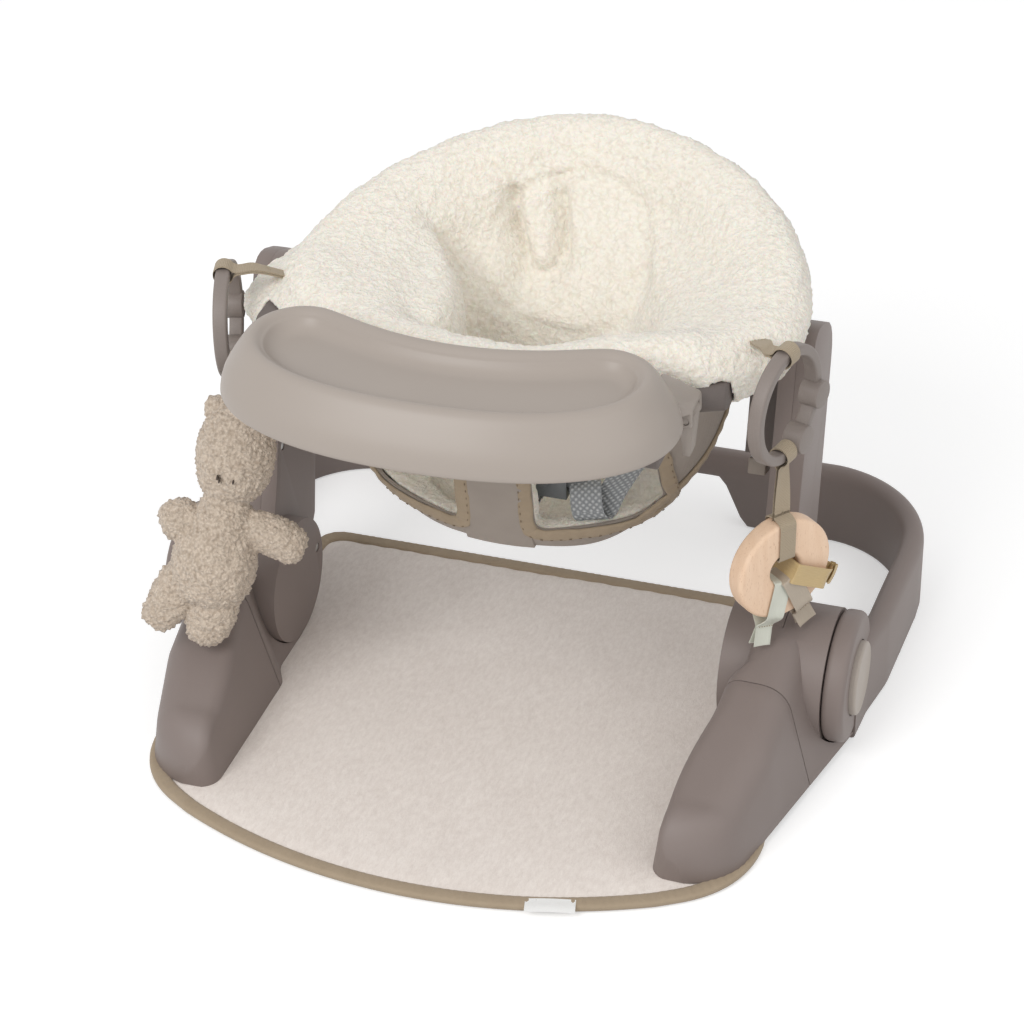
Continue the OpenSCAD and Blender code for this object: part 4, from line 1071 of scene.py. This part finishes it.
def hulled(*boxes):
    """The hull round boxes, each given by two opposite corners."""
    bm = bmesh.new()
    for low, high in boxes:
        low, high = Vector(low), Vector(high)
        where = Matrix.Translation((low + high) / 2) @ Matrix.Diagonal((*(high - low), 1))
        bmesh.ops.create_cube(bm, size=1.0, matrix=where)
    bmesh.ops.delete(bm, geom=bm.edges, context="EDGES_FACES")
    made = bmesh.ops.convex_hull(bm, input=bm.verts)
    bmesh.ops.delete(bm, geom=verts_of(made["geom_interior"]), context="VERTS")
    flattened(bm)
    return closed(bm, 0.001)


TRAY_LEVELS = [(27, 0, -12), (24, 0, -11.9), (21.5, 0, -11.5), (18.6, 0, -10.4), (16, 0, -8.6),
               (14.2, 0, -6.6), (12.9, 0, -4.9), (12.4, 0, -4.2), (11.2, 0, -3.7), (10.2, 0, -3.0),
               (8.6, 0, -1.4), (6.8, 0, -0.4), (4.8, 0, 0), (3.0, 0.2, -0.5), (1.5, 0.9, -1.7),
               (0.5, 2.0, -3.6), (0, 3.7, -6.4), (0, 6.4, -10.2), (0, 9.6, -14.9), (0, 12.6, -19.6),
               (0, 15.0, -24.2), (0, 16.8, -29.5), (0, 17.7, -34), (0, 18, -36.4), (0.4, 18, -37.5),
               (1.4, 18, -38), (2.5, 18, -37.6), (3, 17.8, -36), (3, 15, -24), (3, 9, -14.5), (5, 3, -8.5),
               (9, 0, -7.5), (13, 0, -9), (16, 0, -13), (23, 0, -15)]
tray_bm = lofted([tray_ring(inset, flare, TRAY_TOP_Z + dz) for inset, flare, dz in TRAY_LEVELS])
shoulders, bores = [], []
for side, tag in SIDES:
    web = hulled(((TRAY_HALF_W - 4, -98, TRAY_LOW_Z + 3), (TRAY_HALF_W - 1, -76, TRAY_LOW_Z + 28)),
                 ((CLIP_X - CHEEK_HALF_W, CLIP_Y - CLIP_HALF_D, TRAY_LOW_Z - 0.3),
                  (CLIP_X + CHEEK_HALF_W, CLIP_Y + CLIP_HALF_D, TRAY_LOW_Z + 3.2)))
    shoulders.append(mirrored(eased_edges(web, 1.6, 4), side))
    for y0 in (CLIP_Y - CLIP_HALF_D, CLIP_Y + CLIP_HALF_D - CHEEK_T):
        cheek = slab(CLIP_X - CHEEK_HALF_W, CLIP_X + CHEEK_HALF_W, y0, y0 + CHEEK_T, CLIP_PIN_Z - 4.5,
                     TRAY_LOW_Z + 1.5)
        shoulders.append(mirrored(eased_edges(cheek, 0.8, 3), side))
    bores.append(rod(CLIP_BORE_R, 30, 24, Matrix.Translation((side * CLIP_X, CLIP_Y, CLIP_PIN_Z))
                     @ Matrix.Rotation(math.pi / 2, 4, "X")))
tray_bm = joined(joined(tray_bm, shoulders, "UNION"), bores, "DIFFERENCE")
satin = Finish("satin_tray", Roughness=0.42, Specular_IOR_Level=0.4)
satin_grain = satin.place.noise(1600, 2.0)
satin_cloud = satin.place.noise(10, 2.0)
satin_tone = (satin_cloud * 0.6 + satin_grain * 0.2).clamp()
satin.set(Base_Color=satin_tone.between(paint(160, 150, 142), paint(172, 162, 153)),
          Roughness=satin_grain * 0.12 + 0.36, Normal=satin_grain.bump(0.00012, 0.25))
piece("tray", tray_bm, "tray", satin, ["tray_top"], sharp=60)
for tag in ("left", "right"):
    cast_piece("tray_latch_" + tag, "tray_clip_" + tag, "clip_" + tag[0], "tray_plastic", satin, 1.6, 4)

# ---- Link rings and straps ----
# A round plastic ring with two knuckles hangs at each side of the seat. A stitched loop of tape holds it
# to the seat's edge. The ring is a spun section, and the tape a strip that goes round it and back.
LINK_R = 38.0
LINK_SECTION_R = 5.0
LINK_HALF_W = 3.75
KNUCKLE_R = 10.0
KNUCKLE_T = 14.0
TAPE_W = 13.0
TAPE_T = 1.4


def soft_section(middle, half_w, half_h, r, steps):
    """Points of a section with rounded corners, its middle at a radius."""
    return [(middle + sx * (half_w - r) + r * math.cos(a), sz * (half_h - r) + r * math.sin(a))
            for sx, sz, start in ((1, 1, 0), (-1, 1, 90), (-1, -1, 180), (1, -1, 270))
            for a in (math.radians(start + 90 * i / steps) for i in range(steps + 1))]


LINK_AT = {1: Vector((206.5, -32, 330)), -1: Vector((-197, -16, 323))}
LINK_TURN = math.radians(74)
link_frame = {side: Matrix.Translation(LINK_AT[side]) @ Matrix.Rotation(LINK_TURN * side, 4, "Z")
              for side in (1, -1)}
on_edge = Matrix.Rotation(math.pi / 2, 4, "X")
linked = grained("link_plastic", 1400, (126, 116, 110), (140, 130, 124), 0.0002, 0.3,
                 Roughness=0.48, Specular_IOR_Level=0.42)
taped = Finish("toy_tape_cotton", Roughness=0.8, Sheen_Weight=0.15, Specular_IOR_Level=0.25)
tape_rib = taped.along.wave("X", 260.0, 0.3)
tape_lint = taped.place.noise(1500, 2.0)
taped.set(Base_Color=(tape_rib * 0.5 + tape_lint * 0.5).between(paint(164, 148, 126), paint(184, 169, 146)),
          Normal=(tape_rib + tape_lint * 0.6).bump(0.0004, 0.7))
for side, tag in SIDES:
    knuckles = []
    for degrees in (-14, -64):
        a = math.radians(degrees if side > 0 else 180 - degrees)
        where = Matrix.Translation((LINK_R * math.cos(a), LINK_R * math.sin(a), 1.5))
        knuckles.append(placed(eased_edges(rod(KNUCKLE_R, KNUCKLE_T, 40), 0.9, 3), where))
    ring = joined(turned(soft_section(LINK_R, LINK_HALF_W, LINK_SECTION_R, 1.75, 5), 96), knuckles, "UNION")
    piece("link_" + tag, placed(ring, link_frame[side] @ Matrix.Translation((0, 0, -LINK_R)) @ on_edge),
          "link_" + tag[0], linked, ["link_ring_" + tag], sharp=50)


def looped_tape(radius, tail, angle):
    """Points of a tape that comes in, goes round a ring and leaves again beside itself."""
    out = Vector((math.cos(angle), math.sin(angle)))
    beside = Vector((-out.y, out.x))
    half = TAPE_T * 0.55
    open_ = math.asin(min(0.9, (half + 1.6) / radius))
    round_ = [out * radius * math.cos(a) + beside * radius * math.sin(a)
              for a in (open_ + (math.tau - 2 * open_) * i / 28 for i in range(29))]
    near, far = out * (radius + 2.5), out * (radius + tail)
    shift = beside * half
    return [far + shift, near + shift] + round_ + [near - shift, far - shift]


def tape_on_link(side, radius, tail, angle, low=0.0):
    """The same, in place on a link ring: round its top, or lower down by the given distance."""
    return [link_frame[side] @ Vector((0, p.y, low - p.x)) for p in looped_tape(radius, tail, angle)]


tape_side = {side: link_frame[side].to_3x3() @ Vector((1, 0, 0)) for side in (1, -1)}
loop_mid = LINK_SECTION_R + 1.4 + TAPE_T / 2
STRAP_ROOT = {1: (174, 9, 313), -1: (-162, 11, 311)}
STRAP_SIDE_ANGLE = {1: math.radians(86), -1: math.radians(98)}
for side, tag in SIDES:
    # The strap comes from under the rim, goes round the link ring and back below itself.
    around = tape_on_link(side, loop_mid, 6, STRAP_SIDE_ANGLE[side])
    root = Vector(STRAP_ROOT[side])
    lay = (root - (around[0] + around[-1]) / 2).normalized()
    across_root = lay.cross(Vector((0, 0, 1))).normalized()
    if across_root.dot(tape_side[side]) < 0:
        across_root = -across_root
    over, under = Vector((0, 0, 0.8)), Vector((0, 0, -0.8))
    if around[0].z < around[-1].z:
        over, under = under, over
    middle_ = (around[0] + around[-1]) / 2 + lay * 12 + Vector((0, 0, 2.5))
    points = (curve([root + over, middle_ + over, around[0]], 6)[:-1] + around
              + curve([around[-1], middle_ + under, root + under], 6)[1:])

    def strap_across(share, first=tape_side[side], last=across_root):
        return last.lerp(first, ease(min(share, 1 - share), 0.08, 0.34))

    strap_bm = strip(points, TAPE_W - 1.5, TAPE_T - 0.2, strap_across, 120)
    piece("strap_" + tag, strap_bm, "seat", taped, ["toy_strap_" + tag], sharp=60)
    bar = [root.lerp(middle_, 0.62) + across_root * k + Vector((0, 0, 2.0)) for k in (-4.6, 4.6)]
    tack = stitches(bar, pitch=1.9, reach=1.7, thick=0.7, up=lay)
    piece("strap_tack_" + tag, tack, "seat", thread)

# ---- Wooden ring ----
# A turned beech ring, oiled, hangs on a stitched tape with three folded satin ribbons through it. Each
# ribbon is a strip drawn through the hole and out over both faces.
WOOD_R = 38.0
WOOD_HOLE_R = 12.0
WOOD_T = 15.0
WOOD_EDGE_R = 3.0
WOOD_TURN = math.radians(-24)
HANG = 46.0
RIBBON_W = 14.5
RIBBON_T = 0.9
wood_centre = Vector((0, 0, -2 * LINK_R - (LINK_SECTION_R + 1.4) - HANG - WOOD_R))
wood_frame = link_frame[1] @ Matrix.Translation(wood_centre) @ Matrix.Rotation(WOOD_TURN, 4, "Z") @ on_edge
middle_r, half_band = (WOOD_R + WOOD_HOLE_R) / 2, (WOOD_R - WOOD_HOLE_R) / 2
beech = Finish("oiled_beech", Roughness=0.5, Specular_IOR_Level=0.35)
grain = beech.place.stretched(1.0, 1.0, 0.14).noise(210, 4.0, 0.6)
flecking = beech.place.stretched(1.0, 1.0, 0.22).noise(1100, 2.0, 0.8)
fleck = flecking.node("ValToRGB", stops=[(0.60, (0, 0, 0, 1)), (0.70, (1, 1, 1, 1))], inputs={0: flecking})
beech_tone = grain.between(paint(226, 190, 158), paint(246, 218, 192))
beech.set(Base_Color=(fleck * 0.45).between(beech_tone, paint(186, 138, 100)),
          Roughness=grain * 0.2 + 0.4, Normal=(grain * 0.5 + flecking * 0.3).bump(0.0003, 0.4))
wood_bm = turned(soft_section(middle_r, half_band, WOOD_T / 2, WOOD_EDGE_R, 6), 96)
piece("beech_ring", placed(wood_bm, wood_frame), "wood_toy", beech, ["wooden_ring"], sharp=60)


def straddling(reach, layer, turn=0.0, splay=0.0, close=False):
    """Points of a ribbon that goes through the wooden ring's hole and out over its rim on both faces."""
    off = WOOD_T / 2 + 0.4 + layer * (TAPE_T + 0.2) + TAPE_T / 2
    inner = WOOD_HOLE_R - 2.8 - layer * (TAPE_T + 0.2)
    half = [(reach, 0.6 * TAPE_T + splay), (WOOD_R + 15, 0.9 * TAPE_T), (WOOD_R + 9, 0.55 * TAPE_T),
            (WOOD_R + 4, off * 0.6), (WOOD_R - 1, off + 0.1), (middle_r + 4, off + 0.2),
            (middle_r - 6, off + 0.1), (inner + 1.6, off - 0.3), (inner + 0.2, off - 2.2), (inner, off * 0.4)]
    if close:
        half = [(reach, 0.5 * TAPE_T), (reach - 1.5, off * 0.7)] + half[4:]
    points = [Vector((0, y, z)) for y, z in half] + [Vector((0, y, -z)) for y, z in reversed(half)]
    return [wood_frame @ (Matrix.Rotation(turn, 3, "Z") @ p) for p in points]


wrap_side = wood_frame.to_3x3() @ Vector((1, 0, 0))
hanging = strip(tape_on_link(1, loop_mid, HANG - 2, 0.0, -2 * LINK_R), TAPE_W, TAPE_T - 0.2,
                lambda share: wrap_side.lerp(tape_side[1], ease(min(share, 1 - share), 0.04, 0.4)), 160)
wrap = strip(curve(straddling(WOOD_R + 3.2, 0, close=True), 4), TAPE_W, TAPE_T - 0.2, wrap_side, 110)
piece("hanging_tape", added(hanging, wrap), "wood_toy", taped, ["toy_tape"], sharp=60)
for name, shade, light, degrees, reach, layer in (
        ("mint", (200, 202, 188), (219, 220, 208), -14, 62, 0),
        ("taupe", (164, 151, 134), (188, 175, 158), 24, 60, 1),
        ("gold", (178, 152, 104), (206, 181, 134), 62, 49, 2)):
    satin_ribbon = Finish("satin_" + name, Roughness=0.38, Specular_IOR_Level=0.5, Anisotropic=0.4,
                          Sheen_Weight=0.1)
    # The ribbon's colour carries painted sheen: lighter streaks along its length stand for the satin's shine.
    gleam = satin_ribbon.along.stretched(1.0, 18.0, 1.0).noise(160, 2.0)
    satin_ribbon.set(Base_Color=gleam.between(paint(*shade), paint(*light)), Normal=gleam.bump(0.0003, 0.5))
    angle = math.radians(180 + degrees)
    side = (wood_frame @ Matrix.Rotation(angle, 4, "Z")).to_3x3() @ Vector((1, 0, 0))
    length = Line(curve(straddling(reach, layer, angle, 2.0), 4))
    bm = strip(length.points, RIBBON_W, RIBBON_T, side, 150, 0.6)
    ribbon = piece("ribbon_%s_folded" % name, bm, "wood_toy", satin_ribbon, ["ribbon_" + name],
                   sharp=60)
    row = [wood_frame @ (Matrix.Rotation(angle, 3, "Z") @ Vector((k, WOOD_R + 9.5, 1.5 * TAPE_T)))
           for k in (-6.6, 6.6)]
    face = wood_frame.to_3x3() @ Vector((0, 0, 1))
    sewn_bm = stitches(row, pitch=1.9, reach=1.5, thick=0.8, up=face)
    sewn_row = piece("ribbon_%s_stitches" % name, sewn_bm, "wood_toy", thread)

# ---- Teddy ----
# A flat soft bear in curly pile, stuffed lightly, with sewn eyes. It hangs from the left link ring by a
# tape at the back of its head. Its limbs are swelling lofts, joined, remeshed and given their pile.
TEDDY_AT = (-171, -66, 248)
TEDDY_TURN = math.radians(12)
TEDDY_LEAN = math.radians(12)
TEDDY_TILT = math.radians(-16)
FLAT = 0.78
teddy_frame = (Matrix.Translation(TEDDY_AT) @ Matrix.Rotation(TEDDY_TURN, 4, "Z")
               @ Matrix.Rotation(TEDDY_LEAN, 4, "Y") @ Matrix.Rotation(TEDDY_TILT, 4, "X"))


def plump(p, q, r0, r1, r2, flat=FLAT):
    """A stuffed limb between two points in the bear's own plane."""
    p, q = Vector(p), Vector(q)
    d = (q - p).normalized()
    u = Vector((d.z, 0, -d.x))
    radii = [[0, 0.02], [0.02, r0 * 0.5], [0.06, r0 * 0.75], [0.2, r0], [0.5, r1], [0.8, r2],
             [0.94, r2 * 0.75], [0.98, r2 * 0.5], [1, 0.02]]

    def skin(across, share):
        at, r = through(radii, share)
        a = across * math.tau
        c = p.lerp(q, min(1.0, max(0.0, at)))
        return c + u * r * math.cos(a) - Vector((0, 1, 0)) * r * flat * math.sin(a)

    return closed(draped_grid(24, 32, skin), 0.05)


limbs = [plump((3, 0, 2), (5, 0, -70), 24, 28, 24), plump((4, 0, -62), (2, 0, -150), 20, 29, 29),
         plump((-11, 0, -16), (-16, 0, 4), 9, 10, 8, 0.6), plump((17, 0, -16), (22, 0, 4), 9, 10, 8, 0.6),
         plump((16, 0, -82), (64, 0, -96), 13, 15, 14), plump((-14, 0, -84), (-38, 0, -99), 13, 15, 14),
         plump((10, 0, -130), (5, 0, -180), 17, 18, 15), plump((-12, 0, -124), (-32, 0, -175), 16, 16, 14)]
bear = remeshed(joined(limbs[0], limbs[1:], "UNION"), 1.4, rounds=3)
piled(bear, height=2.2, curl=3.6, seed=5.0)
boucle = Finish("teddy_boucle", Roughness=1.0, Sheen_Weight=0.3, Sheen_Roughness=0.5, Specular_IOR_Level=0.1)
knots = boucle.place.cells(520.0)
fluff = boucle.place.noise(1400, 3.0, 0.7)
loops = boucle.place.noise(480, 2.0)
# Besides random tone from loops and fluff, the knots' cell edges, which are the bump's hollows, are painted
# darker: painted shade between the knots.
boucle_tone_and_painted_shade = (1.0 - knots * 1.2 + loops * 0.6 + fluff * 0.3 - 0.35).clamp()
boucle.set(Base_Color=boucle_tone_and_painted_shade.between(paint(172, 153, 134), paint(230, 214, 196)),
           Normal=(knots * -1.1 + fluff * 0.5 + loops * 0.8).bump(0.0022, 0.8))
teddy = piece("bear", placed(bear, teddy_frame), "teddy", boucle,
              ["teddy_head", "teddy_ears", "teddy_body", "teddy_arm_left", "teddy_arm_right",
               "teddy_leg_left", "teddy_leg_right"], sharp=180)
embroidered = grained("dark_embroidery", 1800, (52, 42, 36), (78, 64, 54), 0.0003, 0.5, Roughness=0.6)
features = bmesh.new()
for x, z, h, deep in ((-3.6, -48, 2.2, 21.4), (-1.9, -49.4, 2.6, 21.6), (7.6, -49, 1.8, 20.8)):
    where = teddy_frame @ Matrix.Translation((x, -deep, z)) @ Matrix.Diagonal((0.8, 1.6, h, 1))
    bmesh.ops.create_icosphere(features, subdivisions=2, radius=1.0, matrix=where)
piece("bear_face", features, "teddy", embroidered, sharp=60)
cast_piece("bear_tape", "teddy_tape", "teddy", "toy_webbing", taped, sharp=60)

# ---- Floor, light and camera ----
# A plain white floor under a white sky as in the photograph, soft light from above, and the photograph's
# view. Floor and sky look white to the camera, while the object gets less light from them.
FLOOR_HALF_W = 6.0
floor_bm = bmesh.new()
bmesh.ops.create_grid(floor_bm, x_segments=1, y_segments=1, size=FLOOR_HALF_W)
floor = as_object("floor", floor_bm)
floor.location.z = -0.0005
ground = Finish("floor_white", Roughness=0.9, Specular_IOR_Level=0.1)
ground.shader.inputs["Base Color"].default_value = (0.75, 0.75, 0.75, 1)
ground.shader.inputs["Emission Strength"].default_value = 0.42


def seen(tree):
    """1 for what the camera sees, also by reflection or through glass, and 0 for light on the object."""
    rays = [Wire(tree, tree.nodes.new("ShaderNodeLightPath").outputs[kind]) for kind in
            ("Is Camera Ray", "Is Glossy Ray", "Is Transmission Ray")]
    return (rays[0] + rays[1] + rays[2]).clamp()


ground.set(Emission_Color=seen(ground.tree))
floor.data.materials.append(ground.material)

world = bpy.data.worlds.new("sky")
bpy.context.scene.world = world
world.use_nodes = True
sky = world.node_tree.nodes["Background"]
white = world.node_tree.nodes.new("ShaderNodeBackground")
both = world.node_tree.nodes.new("ShaderNodeMixShader")
for light, strength in ((sky, 0.64), (white, 1.0)):
    light.inputs["Color"].default_value = (1, 1, 1, 1)
    light.inputs["Strength"].default_value = strength
for given, taken in ((seen(world.node_tree).socket, both.inputs[0]), (sky.outputs[0], both.inputs[1]),
                     (white.outputs[0], both.inputs[2]),
                     (both.outputs[0], world.node_tree.nodes["World Output"].inputs[0])):
    world.node_tree.links.new(given, taken)


LIGHT_AIM = Vector((0, 0, 0.15))


def soft_light(name, size, energy, location):
    """A square lamp that faces the object."""
    lamp = bpy.data.lights.new(name, "AREA")
    lamp.shape = "SQUARE"
    lamp.size = size
    lamp.energy = energy
    made = bpy.data.objects.new(name, lamp)
    made.location = location
    made.rotation_euler = (LIGHT_AIM - Vector(location)).to_track_quat("-Z", "Y").to_euler()
    bpy.context.scene.collection.objects.link(made)


soft_light("key", size=1.3, energy=30, location=(-0.7, -1.9, 1.9))
soft_light("fill", size=2.0, energy=10, location=(1.8, -1.0, 1.4))

VIEW_AT = Vector((0.00873, -0.01506, 0.159))
VIEW_BACK = Vector((0.2758, -0.7818, 0.5592)).normalized()
VIEW_DISTANCE = 1.9094
VIEW_TURN = math.radians(19.43)
VIEW_ROLL = math.radians(-1.89)
lens = bpy.data.cameras.new("view")
lens.lens = 94.92
lens.sensor_width = 36
camera = bpy.data.objects.new("view", lens)
level_right = Vector((math.cos(VIEW_TURN), math.sin(VIEW_TURN), 0))
level_up = VIEW_BACK.cross(level_right)
view_right = level_right * math.cos(VIEW_ROLL) + level_up * math.sin(VIEW_ROLL)
view_up = level_up * math.cos(VIEW_ROLL) - level_right * math.sin(VIEW_ROLL)
turn = Matrix((view_right, view_up, VIEW_BACK)).transposed().to_4x4()
camera.matrix_world = Matrix.Translation(VIEW_AT + VIEW_BACK * VIEW_DISTANCE) @ turn
bpy.context.scene.collection.objects.link(camera)
bpy.context.scene.camera = camera
bpy.context.scene.view_settings.view_transform = "Standard"
